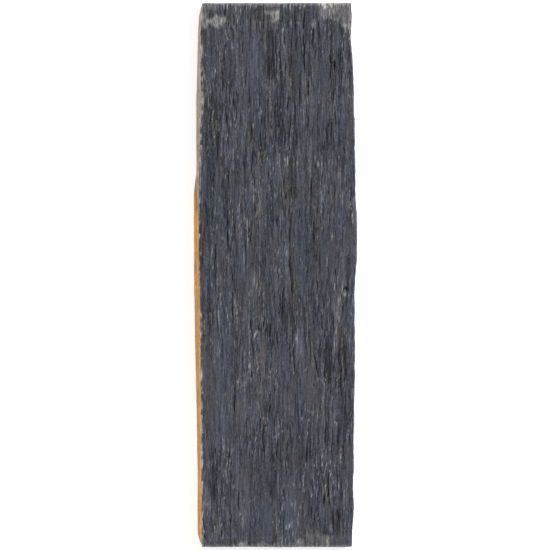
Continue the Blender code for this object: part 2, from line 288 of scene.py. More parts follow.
# Dust on the face: share of the stone covered, softness of the rim, corners as (X, Y)
DUSTY_PATCHES = (
    (0.34, 0.0025, ((-0.149, 0.503), (-0.127, 0.503), (-0.127, 0.481), (-0.126, 0.467), (-0.122, 0.463),
                    (-0.127, 0.452), (-0.134, 0.456), (-0.149, 0.461))),
    (0.33, 0.0024, ((-0.134, 0.467), (-0.124, 0.464), (-0.115, 0.459), (-0.108, 0.454), (-0.102, 0.454),
                    (-0.096, 0.461), (-0.090, 0.467), (-0.089, 0.476), (-0.097, 0.472), (-0.103, 0.475),
                    (-0.109, 0.480), (-0.112, 0.475), (-0.118, 0.471), (-0.125, 0.469))),
    (0.16, 0.0040, ((-0.127, 0.503), (-0.098, 0.503), (-0.100, 0.492), (-0.112, 0.488), (-0.127, 0.490))),
    (0.28, 0.0022, ((-0.019, 0.485), (0.009, 0.486), (0.009, 0.469), (0.003, 0.466), (-0.004, 0.464),
                    (-0.008, 0.478), (-0.018, 0.481))),
    (0.46, 0.0020, ((-0.003, 0.486), (0.008, 0.486), (0.008, 0.471), (0.000, 0.467))),
    (0.20, 0.0020, ((0.076, 0.503), (0.157, 0.503), (0.157, 0.451), (0.132, 0.451), (0.123, 0.458),
                    (0.115, 0.466), (0.106, 0.468), (0.099, 0.471), (0.085, 0.470), (0.081, 0.470),
                    (0.080, 0.489))),
    (0.82, 0.0022, ((0.079, 0.503), (0.109, 0.503), (0.105, 0.493), (0.099, 0.493), (0.091, 0.489),
                    (0.082, 0.494))),
    (0.45, 0.0015, ((0.108, 0.503), (0.157, 0.503), (0.157, 0.497), (0.128, 0.495), (0.119, 0.497),
                    (0.108, 0.496))),
    (0.34, 0.0020, ((0.126, 0.463), (0.157, 0.464), (0.157, 0.451), (0.132, 0.451), (0.124, 0.458))),
    (0.30, 0.0020, ((0.065, 0.463), (0.074, 0.463), (0.074, 0.455), (0.066, 0.455))),
    (0.21, 0.0020, ((-0.157, 0.503), (0.156, 0.503), (0.156, 0.495), (0.119, 0.497), (0.046, 0.495),
                    (-0.024, 0.496), (-0.083, 0.495), (-0.157, 0.496))),
    (0.12, 0.0020, ((-0.157, -0.496), (-0.083, -0.495), (0.027, -0.493), (0.156, -0.496), (0.156, -0.506),
                    (-0.157, -0.506))),
    (0.30, 0.0020, ((-0.068, -0.490), (-0.052, -0.490), (-0.050, -0.506), (-0.068, -0.506))),
    (0.30, 0.0020, ((-0.033, -0.492), (-0.024, -0.490), (-0.014, -0.492), (-0.013, -0.506),
                    (-0.033, -0.506))),
    (0.28, 0.0020, ((-0.003, -0.494), (0.006, -0.492), (0.007, -0.506), (-0.004, -0.506))),
    (0.24, 0.0020, ((0.039, -0.489), (0.046, -0.485), (0.052, -0.487), (0.053, -0.506), (0.038, -0.506))),
    (0.09, 0.0030, ((0.062, -0.466), (0.080, -0.466), (0.084, -0.476), (0.103, -0.481), (0.102, -0.506),
                    (0.055, -0.506), (0.052, -0.484))),
    (0.42, 0.0020, ((0.095, -0.481), (0.101, -0.481), (0.102, -0.506), (0.093, -0.506))),
    (0.05, 0.0040, ((-0.156, -0.385), (-0.125, -0.388), (-0.121, -0.414), (-0.122, -0.451), (-0.127, -0.456),
                    (-0.156, -0.454))),
)

# Falls at which the painted shade of the broad and the fine recesses of the face is full
BROAD_GROOVE = 0.0030
FINE_GROOVE = 0.0018

# Chipped arrises: the worn bands and the size of their chips
ARRIS_SEEDS = (71.0, 72.0)
ARRIS_BAND = 0.007
ARRIS_FALL = 0.0022
END_BAND = 0.012
END_FALL = 0.0018
CHIP_SIZE = 0.021
END_CHIP_DEPTH = 0.0010

# Back: one flat cleavage plane with thin layers split off it towards its rim.
BACK_LAYER = 0.0013
BACK_SIZE = (0.062, 0.310)
BACK_RAGGED_SIZE = (0.018, 0.070)
BACK_FLAT_LEVEL = 0.20
BACK_LAYERS_PER_UNIT = 4.0
BACK_HALF_WIDTH = 0.150

# Cells of the blank: each number is one round of cuts, and the cells are their product.
FACE_CUTS = (8, 30)
BACK_CUTS = (6, 8)
SIDE_CUTS = (4, 4)
ROW_CUTS = (30, 10)
FACE_COLUMNS = math.prod(FACE_CUTS)
BACK_COLUMNS = math.prod(BACK_CUTS)
SIDE_CELLS = math.prod(SIDE_CUTS)
ROWS = math.prod(ROW_CUTS)
END_INSET = 0.0011
# How far the face's points are moved off their rows, at most: across and along the slab
FACE_SHIFTS = (0.00018, 0.00100)

# Finish masks kept on the mesh, each from 0 to 1: the sliver's own shade, brownness, strength of
# the grain, painted shade in recesses, crushed pale edges, stone dust and iron stain
MASKS = ("tone", "warmth", "lively", "recess_shade", "powder", "dust", "rind")
MASK_MIDDLE = 0.5
MIDDLE_MASKS = ("tone", "warmth", "lively")

# The bake map: each strip's start and stop across it, and the two ends' starts along theirs
MAP_STRIPS = {
    "face": (0.005, 0.555),
    "back": (0.562, 0.790),
    "left": (0.797, 0.860),
    "right": (0.867, 0.930),
    "ends": (0.937, 0.995),
}
MAP_END_STARTS = (0.01, 0.51)
MAP_END_LENGTH = 0.47

# Dust on the sawn ends and on their chipped rims
END_DUST = 0.12
RIM_DUST = 0.30
# Faces that meet at less than this angle, in degrees, are shaded as one
SMOOTH_ANGLE = 50.0
# Distance between nodes in the editor, across and down
NODE_COLUMN = 220.0
NODE_ROW = 260.0

# Cells of each finish's grain: across, along and through the layers, and how far it wanders
GRAIN_CELLS = {
    "riven": {"Width": 0.0016, "Length": 0.018, "Layer": 0.0060, "Wander": 0.012},
    "broken": {"Width": 0.0060, "Length": 0.026, "Layer": 0.0011, "Wander": 0.004},
    "stained": {"Width": 0.0060, "Length": 0.012, "Layer": 0.0018, "Wander": 0.004},
    "sawn": {"Width": 0.0260, "Length": 0.004, "Layer": 0.0009, "Wander": 0.003},
}
# Depths of the finest relief of each finish, and how far the saw's arcs are moved off the middle
BUMP_DEPTHS = {"riven": 0.00035, "broken": 0.00070, "stained": 0.00080, "sawn": 0.00014}
SAW_CENTRE = (0.11, 0.0, 0.17)
# How much each part of the grain lightens bare slate, or darkens it where below 0; the seams' darkening is
# painted shade
LIGHT_OF = {"fibre": 2.6, "sliver": 0.33, "tone": 0.76, "grit": 2.1, "seam": -0.24}
MEAN_LIGHT = 1.07
# How far worn edges pale before they are crushed to powder
WORN_SHARE = 0.30
# The power each colour falls off with as the stone darkens: darker slate and its painted shade are tinted
# bluer, as bluish light in shade would make them, and pale slate greyer
BLUISH_SHADE_TINT = {"Red": 1.0, "Green": 0.98, "Blue": 0.92}

# Sides of the slab, and the material slot that each has
SIDES = ("face", "back", "left", "right", "ends")
SIDE_FINISH = {"face": 0, "back": 0, "right": 1, "left": 2, "ends": 3}


def display(red, green, blue):
    """Linear colour of a shade given as it looks on a screen, 0 to 255."""
    shares = (value / 255.0 for value in (red, green, blue))
    return tuple(((share + 0.055) / 1.055) ** 2.4 for share in shares)


class SlateRelief(bpy.types.PropertyGroup):
    """Heights of the slab's relief and how its slivers are strewn."""

    face_drop: bpy.props.FloatProperty(
        name="Face Drop", description="How far the face's mean level lies under its highest spots",
        default=0.0034, min=0.0, unit="LENGTH", precision=5,
    )
    swell: bpy.props.FloatProperty(
        name="Swell", description="Height of the broad waves of the face",
        default=0.0018, min=0.0, unit="LENGTH", precision=5,
    )
    rib: bpy.props.FloatProperty(
        name="Ribs", description="Height of the long ribs that run with the grain",
        default=0.0017, min=0.0, unit="LENGTH", precision=5,
    )
    fine_rib: bpy.props.FloatProperty(
        name="Fine Ribs", description="Height of the finer ribs between them",
        default=0.0011, min=0.0, unit="LENGTH", precision=5,
    )
    wander: bpy.props.FloatProperty(
        name="Wander", description="How far the grain strays sideways",
        default=0.0055, min=0.0, unit="LENGTH", precision=5,
    )
    ledge: bpy.props.FloatProperty(
        name="Ledges", description="Height of one cleavage step in the face",
        default=0.0010, min=0.0, unit="LENGTH", precision=5,
    )
    fibre: bpy.props.FloatProperty(
        name="Fibre", description="Height of the fibres on the slivers",
        default=0.00022, min=0.0, unit="LENGTH", precision=5,
    )
    plates: bpy.props.IntProperty(
        name="Plates", description="Number of broad plates under the slivers", default=150, min=0,
    )
    slivers: bpy.props.IntProperty(
        name="Slivers", description="Number of thin plates that overlap along the face",
        default=5200, min=0,
    )
    splits: bpy.props.IntProperty(
        name="Splits", description="Number of short open split lines besides the large ones",
        default=260, min=0,
    )
    scars: bpy.props.IntProperty(
        name="Scars", description="Number of lens-shaped scars where a flake came off",
        default=110, min=0,
    )
    flecks: bpy.props.IntProperty(
        name="Flecks", description="Number of small pale chips on the face",
        default=300, min=0,
    )
    seed: bpy.props.IntProperty(
        name="Seed", description="Number that the strewing starts from", default=11, min=0,
    )


class SlateFinish(bpy.types.PropertyGroup):
    """Colours and gloss of the slate."""

    blue: bpy.props.FloatVectorProperty(
        name="Blue Slate", description="Colour of the fresh blue-grey slivers",
        default=display(58, 62, 73), size=3, subtype="COLOR", min=0.0, max=1.0,
    )
    brown: bpy.props.FloatVectorProperty(
        name="Brown Slate", description="Colour of the browner slivers between them",
        default=display(62, 61, 66), size=3, subtype="COLOR", min=0.0, max=1.0,
    )
    powder: bpy.props.FloatVectorProperty(
        name="Crushed Slate", description="Colour of crushed edges and stone dust",
        default=display(182, 178, 173), size=3, subtype="COLOR", min=0.0, max=1.0,
    )
    tan: bpy.props.FloatVectorProperty(
        name="Tan Rind", description="Colour of the weathered joint side at the head",
        default=display(160, 147, 132), size=3, subtype="COLOR", min=0.0, max=1.0,
    )
    ochre: bpy.props.FloatVectorProperty(
        name="Ochre Rind", description="Colour of the iron stain on the joint side",
        default=display(203, 149, 82), size=3, subtype="COLOR", min=0.0, max=1.0,
    )
    rust: bpy.props.FloatVectorProperty(
        name="Deep Rust", description="Colour of the darkest iron stain",
        default=display(148, 98, 50), size=3, subtype="COLOR", min=0.0, max=1.0,
    )
    roughness: bpy.props.FloatProperty(
        name="Roughness", description="Roughness of the fresh slate",
        default=0.58, min=0.0, max=1.0, subtype="FACTOR",
    )


class SlateStudio(bpy.types.PropertyGroup):
    """The floor, the lights and the camera."""

    floor_colour: bpy.props.FloatVectorProperty(
        name="Floor", description="Colour of the plain floor",
        default=(0.93, 0.93, 0.93), size=3, subtype="COLOR", min=0.0, max=1.0,
    )
    floor_glow: bpy.props.FloatProperty(
        name="Floor Glow", description="Light that the floor gives off itself, as a light table does",
        default=0.53, min=0.0,
    )
    floor_size: bpy.props.FloatProperty(
        name="Floor Size", description="Side of the square floor",
        default=80.0, min=2.0, unit="LENGTH",
    )
    sky: bpy.props.FloatProperty(
        name="Fill Light", description="Strength of the white light from all round",
        default=0.52, min=0.0,
    )
    key: bpy.props.FloatProperty(
        name="Key Light", description="Strength of the light from the head's right",
        default=3.5, min=0.0,
    )
    spread: bpy.props.FloatProperty(
        name="Light Spread", description="Angle that each soft light fills",
        default=math.radians(16.0), min=0.0, subtype="ANGLE",
    )
    key_azimuth: bpy.props.FloatProperty(
        name="Key Azimuth", description="Direction of the key light, from +X towards +Y",
        default=math.radians(38.0), subtype="ANGLE",
    )
    key_height: bpy.props.FloatProperty(
        name="Key Height", description="Angle of the key light above the floor",
        default=math.radians(35.0), subtype="ANGLE",
    )
    rim: bpy.props.FloatProperty(
        name="Rim Light", description="Strength of the low light from the left",
        default=0.6, min=0.0,
    )
    rim_azimuth: bpy.props.FloatProperty(
        name="Rim Azimuth", description="Direction of the rim light, from +X towards +Y",
        default=math.radians(190.0), subtype="ANGLE",
    )
    rim_height: bpy.props.FloatProperty(
        name="Rim Height", description="Angle of the rim light above the floor",
        default=math.radians(20.0), subtype="ANGLE",
    )
    camera_height: bpy.props.FloatProperty(
        name="Camera Height", description="Height of the camera over the face",
        default=5.2, min=0.5, unit="LENGTH",
    )
    view_width: bpy.props.FloatProperty(
        name="View Width", description="Width of the square view at the face",
        default=1.0095, min=0.1, unit="LENGTH",
    )


# ---------------------------------------------------------------- shared formulas


def along(outline, y):
    """X of a plan outline at Y."""
    places, offsets = zip(*outline)
    return np.interp(y, places, offsets)


def ramp(value, low, high):
    """Smooth step from 0 at low to 1 at high."""
    share = np.clip((value - low) / (high - low), 0.0, 1.0)
    return share * share * (3.0 - 2.0 * share)


def grain(x, y, size, seed):
    """Noise from -1 to 1, stretched to the given size across and along the slab."""
    across, length = np.broadcast_arrays(x / size[0], y / size[1])
    places = zip(across.ravel().tolist(), length.ravel().tolist())
    return np.array([noise.noise((a, b, seed)) for a, b in places]).reshape(across.shape)


def blurred(field, columns, rows):
    """The field smoothed over so many columns and rows to each side."""
    for axis, reach in ((1, columns), (0, rows)):
        padded = np.pad(field, [(reach, reach) if axis == side else (0, 0) for side in (0, 1)], "edge")
        offsets = range(2 * reach + 1)
        count = field.shape[axis]
        pull = [1.0 - abs(offset - reach) / (reach + 1.0) for offset in offsets]
        parts = [weight * padded.take(range(offset, offset + count), axis)
                 for offset, weight in zip(offsets, pull)]
        field = sum(parts) / sum(pull)
    return field


def bent(share, heights, offsets):
    """A value that runs straight from offset to offset as the share passes the heights."""
    value = offsets[0]
    for low, high, start, stop in zip(heights, heights[1:], offsets, offsets[1:]):
        value = value + (stop - start) * np.clip((share - low) / (high - low), 0.0, 1.0)
    return value


def end_chip(x, z):
    """How far the rim of a sawn end is chipped back, by its place on the end."""
    chips = grain(x, z, (0.0075, 0.0060), 61.0) + 0.5 * grain(x, z, (0.0028, 0.0028), 62.0)
    return END_CHIP_DEPTH * (0.10 + 1.3 * ramp(chips, 0.05, 0.62))


# ---------------------------------------------------------------- the riven face


def spall_fall(x, depth_in, spalls):
    """Fall of the spalls at one end, depth_in metres from that end."""
    fall = np.zeros_like(x)
    for low, high, reach, depth in spalls:
        inside = ramp(x, low - 0.003, low + 0.002) * ramp(-x, -high - 0.003, -high + 0.002)
        ragged = reach * (1.0 + 0.16 * grain(x, 0.0, (0.013, 1.0), 17.0))
        fall = np.maximum(fall, depth * inside * (1.0 - ramp(depth_in, ragged - 0.0015, ragged + 0.0015)))
    return fall


def oval(x, y, middle_x, middle_y, half_width, half_length):
    """0 at the middle of an oval and 1 on its rim, growing with the square of the distance."""
    return ((x - middle_x) / half_width) ** 2 + ((y - middle_y) / half_length) ** 2


def hollow_share(x, y):
    """How much of the way down in a long hollow each place is."""
    share = np.zeros_like(x)
    for hollow in HOLLOWS:
        share = np.maximum(share, 1.0 - ramp(oval(x, y, *hollow), 0.25, 1.4))
    return share


def hollow_fall(x, y):
    """Fall of the long hollows and of the pits."""
    fall = HOLLOW_DEPTH * hollow_share(x, y)
    for centre_x, centre_y, radius, depth in PITS:
        off = np.hypot(x - centre_x, y - centre_y)
        fall = np.maximum(fall, depth * (1.0 - ramp(off, 0.3 * radius, 1.1 * radius)))
    return fall


def arris_fall(x, y):
    """Fall of the worn and chipped bands beside the four front arrises."""
    from_side = np.minimum(x - along(LEFT_ARRIS, y), along(RIGHT_FLANK, y) - RIGHT_ARRIS_SETBACK - x)
    from_end = HALF_LENGTH - abs(y)
    chip = 0.55 + 0.75 * grain(x, y, (CHIP_SIZE, CHIP_SIZE), 41.0)
    side = ARRIS_FALL * (1.0 - ramp(from_side, 0.0, ARRIS_BAND))
    end = END_FALL * (1.0 - ramp(from_end, 0.0, END_BAND))
    return np.maximum(chip, 0.1) * (side + end)


def main_forms(x, y, straight, relief):
    """Z of the riven face without its slivers."""
    swell = relief.swell * grain(x, y, SWELL_SIZE, 5.0)
    ribs = relief.rib * grain(straight, y, RIB_SIZE, 8.0)
    ribs += relief.fine_rib * grain(straight, y, FINE_RIB_SIZE, 12.0)
    field = LEDGES_PER_UNIT * grain(straight, y, LEDGE_SIZE, 21.0)
    step = np.floor(field) + ramp(field - np.floor(field), 0.90, 1.0)
    fall = hollow_fall(x, y) + arris_fall(x, y)
    fall += spall_fall(x, HALF_LENGTH - y, HEAD_SPALLS)
    fall += spall_fall(x, HALF_LENGTH + y, FOOT_SPALLS)
    return THICKNESS - relief.face_drop + swell + ribs + relief.ledge * step - fall


def fresh_masks(shape):
    """The finish masks before anything is laid: some start at their middle, the others at 0."""
    return {name: np.full(shape, MASK_MIDDLE if name in MIDDLE_MASKS else 0.0) for name in MASKS}


class Sheet:
    """One face of the slab as grids of rows along it: its places and its finish masks."""

    def __init__(self, columns):
        self.share, self.run = np.meshgrid(np.linspace(0, 1, columns + 1), np.linspace(0, 1, ROWS + 1))
        self.y = (self.run - 0.5) * LENGTH
        self.x = np.zeros_like(self.y)
        self.z = np.zeros_like(self.y)
        self.masks = fresh_masks(self.y.shape)

    def mark(self, name, cut, values):
        """Raise a finish mask to the given values, where they are higher than it is."""
        mask = self.masks[name][cut]
        mask[...] = np.maximum(mask, values)

    def window(self, x, y, half_width, half_length):
        """Slices of the rows and columns that may lie within a box round a place."""
        row = (y / LENGTH + 0.5) * ROWS
        rows = half_length / LENGTH * ROWS + 1.0
        first, last = (int(np.clip(row + side * rows, 0, ROWS)) for side in (-1, 1))
        line = self.x[int(np.clip(round(row), 0, ROWS))]
        start, stop = np.searchsorted(line, (x - half_width, x + half_width))
        return slice(first, last + 2), slice(max(start - 4, 0), stop + 5)


def lay_sliver(sheet, spot, half_width, half_length, lift, side, shade, crush, blunt):
    """Lay one thin plate on the face: pointed, flush along one edge and proud along the other."""
    x, y, lean, sway, phase = spot
    reach = half_width * (1.0 + abs(sway)) + abs(lean) * half_length + 0.006
    cut = sheet.window(x, y, reach, half_length)
    length = (sheet.y[cut] - y) / half_length
    sharp = (1.0 - np.clip(abs(length), 0, 1) ** 1.6) ** 0.8
    snapped = (1.0 - np.clip(abs(length), 0, 1) ** 9) ** 0.5
    taper = np.where(length * blunt > 0.0, snapped, sharp)
    centre = x + lean * (sheet.y[cut] - y) + sway * half_width * np.sin(3.0 * length + phase)
    across = (sheet.straight[cut] - centre) / (half_width * taper + 1e-6)
    inside = (abs(across) < 1.0) & (abs(length) < 1.0)
    rise = lift * (0.5 + 0.5 * side * across) * np.sqrt(np.clip(taper, 0, 1))
    sheet.z[cut] += np.where(inside, rise, 0.0)
    tone = sheet.masks["tone"][cut]
    tone[...] = np.where(inside, 0.25 * tone + 0.75 * shade, tone)
    edge = ramp(side * across, 1.0 - CRUSHED_RIM / half_width, 1.0) * inside
    start, stop, strength = crush
    edge *= strength * (length > start) * (length < stop)
    sheet.mark("powder", cut, edge)


def strew_plates(sheet, count, half_widths, ratios, lifts, rng):
    """Lay so many plates over the face, the broad ones first, bolder where the grain is lively."""
    halves = np.sort(np.exp(rng.uniform(*np.log(half_widths), count)))[::-1]
    xs, ys = rng.uniform(LOW.x, HIGH.x, count), rng.uniform(LOW.y, HIGH.y, count)
    bold = 1.0 + LIVELY_SHARE * lively_grain(xs, ys)
    lengths = halves * rng.uniform(*ratios, count) * (1.0 + CALM_STRETCH * (1.0 - bold))
    lifts = (halves * rng.uniform(*lifts, count) + 0.00010) * bold
    leans, sways = rng.normal(0.0, SLIVER_LEAN, count), rng.normal(0.0, SLIVER_SWAY, count)
    phases = rng.uniform(0.0, math.tau, count)
    sides = rng.choice((-1.0, 1.0), count)
    shades = MASK_MIDDLE + 0.20 * bold * rng.standard_normal(count)
    blunts = rng.choice((-1.0, 0.0, 0.0, 1.0), count)
    starts, runs = rng.uniform(-1.0, 0.6, count), rng.uniform(0.12, 1.10, count)
    crushed = np.where(rng.random(count) < CRUSHED_SHARE, rng.uniform(0.1, 0.94, count) ** 1.7, 0.0) * bold
    for k in range(count):
        crush = (starts[k], starts[k] + runs[k], min(crushed[k], 1.0))
        spot = (xs[k], ys[k], leans[k], sways[k], phases[k])
        lay_sliver(sheet, spot, halves[k], lengths[k], lifts[k], sides[k], shades[k], crush, blunts[k])


def lively_grain(x, y):
    """Where the grain is rough, towards 1, and where it is calm, towards -1."""
    field = 1.5 * grain(x, y, LIVELY_SIZE, 97.0)
    for spot_x, spot_y, half_width, half_length, rough in ROUGH_ZONES:
        off = np.hypot((x - spot_x) / half_width, (y - spot_y) / half_length)
        field = field + rough * (1.0 - ramp(off, 0.5, 1.3))
    return np.clip(field, -1.0, 1.0)


def spread_out(rng, limits):
    """A size between two limits, with as many small ones as large ones in proportion."""
    return math.exp(rng.uniform(math.log(limits[0]), math.log(limits[1])))


def lens(sheet, cut, x, y, half_width, half_length):
    """Places in a pointed lens: across it, along it, and how far out, which is 1 on its rim."""
    across = (sheet.straight[cut] - x) / half_width
    length = (sheet.y[cut] - y) / half_length
    return across, length, abs(across) ** 1.5 + abs(length) ** 1.5


def lay_scar(sheet, x, y, half_width, half_length, depth, side):
    """Sink one lens-shaped scar, with painted shade on the wall of one side and a crushed lip round it."""
    cut = sheet.window(x, y, 1.4 * half_width + 0.006, 1.3 * half_length)
    across, length, off = lens(sheet, cut, x, y, half_width, half_length)
    off = off + 0.30 * grain(sheet.x[cut], sheet.y[cut], (0.0035, 0.012), 47.0)
    sheet.z[cut] -= depth * (1.0 - ramp(off, 0.82, 1.08))
    # Painted shade along the wall of one side of the scar.
    wall = np.exp(-((off - 0.90) / 0.13) ** 2) * ramp(side * across, -0.1, 0.5)
    lip = np.exp(-((off - 1.08) / 0.12) ** 2) * ramp(-side * across + 0.35 * length, -0.3, 0.5)
    lip *= ramp(grain(sheet.x[cut], sheet.y[cut], (0.0040, 0.0080), 48.0), -0.15, 0.35)
    sheet.mark("recess_shade", cut, 0.75 * wall)
    sheet.mark("powder", cut, 0.95 * lip)


def strew_scars(sheet, relief, rng):
    """Sink the scars, most of them where the grain is lively."""
    for _ in range(relief.scars):
        spots = rng.uniform((LOW.x + 0.012, LOW.y), (HIGH.x - 0.012, HIGH.y), (3, 2))
        x, y = spots[np.argmax(lively_grain(spots[:, 0], spots[:, 1]))]
        half_width = spread_out(rng, SCAR_HALF_WIDTHS)
        lay_scar(sheet, x, y, half_width, half_width * rng.uniform(*SCAR_RATIOS),
                 rng.uniform(*SCAR_FALLS), rng.choice((-1.0, 1.0), p=(0.35, 0.65)))


def lay_facet(sheet, x, y, half_width, half_length, brown):
    """Leave one smooth pointed facet, where a whole layer came off."""
    cut = sheet.window(x, y, half_width + 0.006, half_length)
    across, length, off = lens(sheet, cut, x, y, half_width, half_length)
    off = off + 0.22 * grain(sheet.x[cut], sheet.y[cut], (0.004, 0.018), 49.0)
    inside = 1.0 - ramp(off, 0.80, 1.02)
    z, masks = sheet.z[cut], {name: sheet.masks[name][cut] for name in MASKS}
    z += inside * (FACET_CALM * (blurred(z, 7, 9) - z) - FACET_DEPTH * (1.0 - abs(length)))
    masks["tone"] += FACET_CALM * inside * (MASK_MIDDLE - masks["tone"])
    masks["lively"] *= 1.0 - FACET_CALM * inside
    masks["powder"] *= 1.0 - inside
    masks["warmth"] += brown * inside
    # Painted shade along one side of the facet's rim.
    wall = np.exp(-((off - 0.98) / 0.12) ** 2) * ramp(across, 0.0, 0.5)
    sheet.mark("recess_shade", cut, 0.6 * wall)


def open_crack(sheet, x, low, high, lean, depth, width):
    """Open a split line along the grain: a narrow channel that thins out at both ends, painted with shade."""
    middle, half_length = (low + high) / 2, (high - low) / 2
    cut = sheet.window(x, middle, 0.006 + abs(lean) * half_length, half_length)
    length = (sheet.y[cut] - middle) / half_length
    wave = CRACK_WAVE * np.sin(sheet.y[cut] * CRACK_WAVES + x * 900.0)
    centre = x + lean * (sheet.y[cut] - middle) + wave - sheet.stray[cut]
    taper = np.sqrt(np.clip(1.0 - length ** 2, 0.0, 1.0))
    across = abs(sheet.x[cut] - centre) / (width * (0.35 + 0.65 * taper))
    open_part = np.clip(1.35 - across, 0.0, 1.0) * taper
    sheet.z[cut] -= depth * open_part
    # Painted shade inside the crack, darker the deeper it is.
    dark = min(0.35 + depth / DARK_CRACK_FALL, 1.0)
    sheet.mark("recess_shade", cut, dark * np.clip(1.5 * open_part, 0.0, 1.0))


def strew_splits(sheet, relief, rng):
    """Open the large cracks and strew the short ones."""
    for x, low, high, lean, depth in CRACKS:
        open_crack(sheet, x, low, high, lean, depth, CRACK_WIDTH)
    for _ in range(relief.splits):
        x, y = rng.uniform(LOW.x + 0.02, HIGH.x - 0.02), rng.uniform(LOW.y + 0.02, HIGH.y - 0.02)
        half_length = spread_out(rng, SPLIT_HALF_LENGTHS)
        open_crack(sheet, x, y - half_length, y + half_length, rng.normal(0.0, 0.04),
                   rng.uniform(*SPLIT_FALLS), rng.uniform(*SPLIT_WIDTHS))


def lay_fleck(sheet, x, y, half_width, half_length, lean, strength):
    """Lay one small pale chip or scratch on the face."""
    cut = sheet.window(x, y, 0.004 + abs(lean) * half_length, half_length + 0.002)
    length = (sheet.y[cut] - y) / half_length
    across = (sheet.x[cut] - x - lean * (sheet.y[cut] - y)) / half_width
    inside = np.clip(1.4 - np.hypot(length, across), 0.0, 1.0)
    sheet.z[cut] += CHIP_RISE * inside * strength
    sheet.mark("powder", cut, inside * strength)


def strew_flecks(sheet, relief, rng):
    """Lay the large pale chips and scratches, and strew the small ones, some of them in clusters."""
    for fleck in FLECKS:
        lay_fleck(sheet, *fleck)
    for index in range(relief.flecks):
        x, y = rng.uniform(LOW.x + 0.012, HIGH.x - 0.012), rng.uniform(LOW.y, HIGH.y)
        if index % 3 == 0:
            middle_x, middle_y, spread_x, spread_y = FLECK_CLUSTERS[(index // 3) % len(FLECK_CLUSTERS)]
            x, y = rng.normal(middle_x, spread_x), rng.normal(middle_y, spread_y)
        lay_fleck(sheet, x, y, rng.uniform(*CHIP_HALF_WIDTHS), rng.uniform(*CHIP_HALF_LENGTHS),
                  rng.normal(0.0, 0.25), 0.35 + 0.65 * rng.random() ** 2)


def riven_face(relief):
    """The sheet of the riven front face."""
    rng = np.random.default_rng(relief.seed)
    face = Sheet(FACE_COLUMNS)
    inner = (face.share * (1 - face.share) * face.run * (1 - face.run)) > 0.0
    left = along(LEFT_ARRIS, face.y) + arris_wobble(face.y, ARRIS_SEEDS[0])
    right = along(RIGHT_FLANK, face.y) - RIGHT_ARRIS_SETBACK + arris_wobble(face.y, ARRIS_SEEDS[1])
    face.x = left + (right - left) * face.share
    face.x += FACE_SHIFTS[0] * inner * rng.uniform(-1, 1, face.x.shape)
    face.y += FACE_SHIFTS[1] * inner * rng.uniform(-1, 1, face.y.shape)
    face.stray = relief.wander * grain(face.x, face.y, WANDER_SIZE, 3.0)
    face.straight = face.x + face.stray
    face.z = main_forms(face.x, face.y, face.straight, relief)
    bare = face.z.copy()
    strew_plates(face, relief.plates, *PLATE_RANGES, rng)
    strew_plates(face, relief.slivers, *SLIVER_RANGES, rng)
    face.z -= (face.z - bare).mean()
    bold = 1.0 + LIVELY_SHARE * lively_grain(face.x, face.y)
    face.masks["lively"] = MASK_MIDDLE * bold
    face.z += relief.fibre * bold * grain(face.straight, face.y, FIBRE_SIZE, 14.0)
    face.z += 0.5 * relief.fibre * bold * grain(face.straight, face.y, THREAD_SIZE, 15.0)
    strew_scars(face, relief, rng)
    for facet in FACETS:
        lay_facet(face, *facet)
    strew_splits(face, relief, rng)
    strew_flecks(face, relief, rng)
    finish_face(face)
    return face


def arris_wobble(y, seed):
    """How far a long arris strays from its outline at Y."""
    wobble = 0.0007 * grain(0.0, y, (1.0, 0.031), seed) + 0.0008 * grain(0.0, y, (1.0, 0.010), seed + 5.0)
    notches = 0.0014 * ramp(grain(0.0, y, (1.0, 0.0065), seed + 9.0), 0.15, 0.55)
    return wobble + notches * (1.0 if seed < ARRIS_SEEDS[1] else -1.0)


def finish_face(face):
    """Fill in the face's masks: shade and hue of its zones, painted shade in its recesses and hollows, dust
    and stain.
    """
    x, y, masks = face.x, face.y, face.masks
    inset = np.minimum(np.minimum(x - x[:, :1], x[:, -1:] - x), HALF_LENGTH - abs(y))
    # Painted shade: the deeper a place lies below its neighbours, the darker the recess mask makes it.
    sunk = (blurred(face.z, 5, 4) - face.z) / BROAD_GROOVE + (blurred(face.z, 2, 2) - face.z) / FINE_GROOVE
    # Painted shade in the hollows, streaked along the grain: it raises the recess mask and lowers the tone.
    slits = ramp(grain(face.straight, y, (0.0021, 0.055), 98.0), -0.25, 0.30)
    hollow = hollow_share(x, y) * (0.30 + 0.95 * slits)
    sunk = np.maximum(sunk, -0.5) * ramp(inset, 0.0, 0.006)
    masks["recess_shade"] = np.clip(masks["recess_shade"] + sunk + 0.42 * hollow, 0.0, 1.0)
    masks["tone"] += 0.36 * grain(x, y, (0.050, 0.130), 92.0) - HOLLOW_SHADE * hollow
    masks["tone"] += 0.22 * grain(face.straight, y, (0.011, 0.110), 93.0)
    masks["warmth"] += 0.6 * grain(face.straight, y, (0.022, 0.100), 94.0)
    masks["warmth"] += 0.3 * grain(x, y, (0.006, 0.030), 95.0)
    ragged = 0.45 * grain(face.straight, y, (0.006, 0.035), 96.0)
    for *spot, warm, light in SHADED_ZONES:
        inside = 1.0 - ramp(oval(x, y, *spot) + ragged, 0.1, 2.2)
        masks["warmth"] += warm * inside
        masks["tone"] += ZONE_LIGHT * light * inside
    masks["dust"] = face_dust(x, y)
    for spot_y, strength in RUST_SPOTS:
        off = np.hypot((x - RUST_SPOT_X) / RUST_SPOT_SHAPE, y - spot_y)
        masks["rind"] = np.maximum(masks["rind"], strength * (1.0 - ramp(off, 0.0030, 0.0080)))


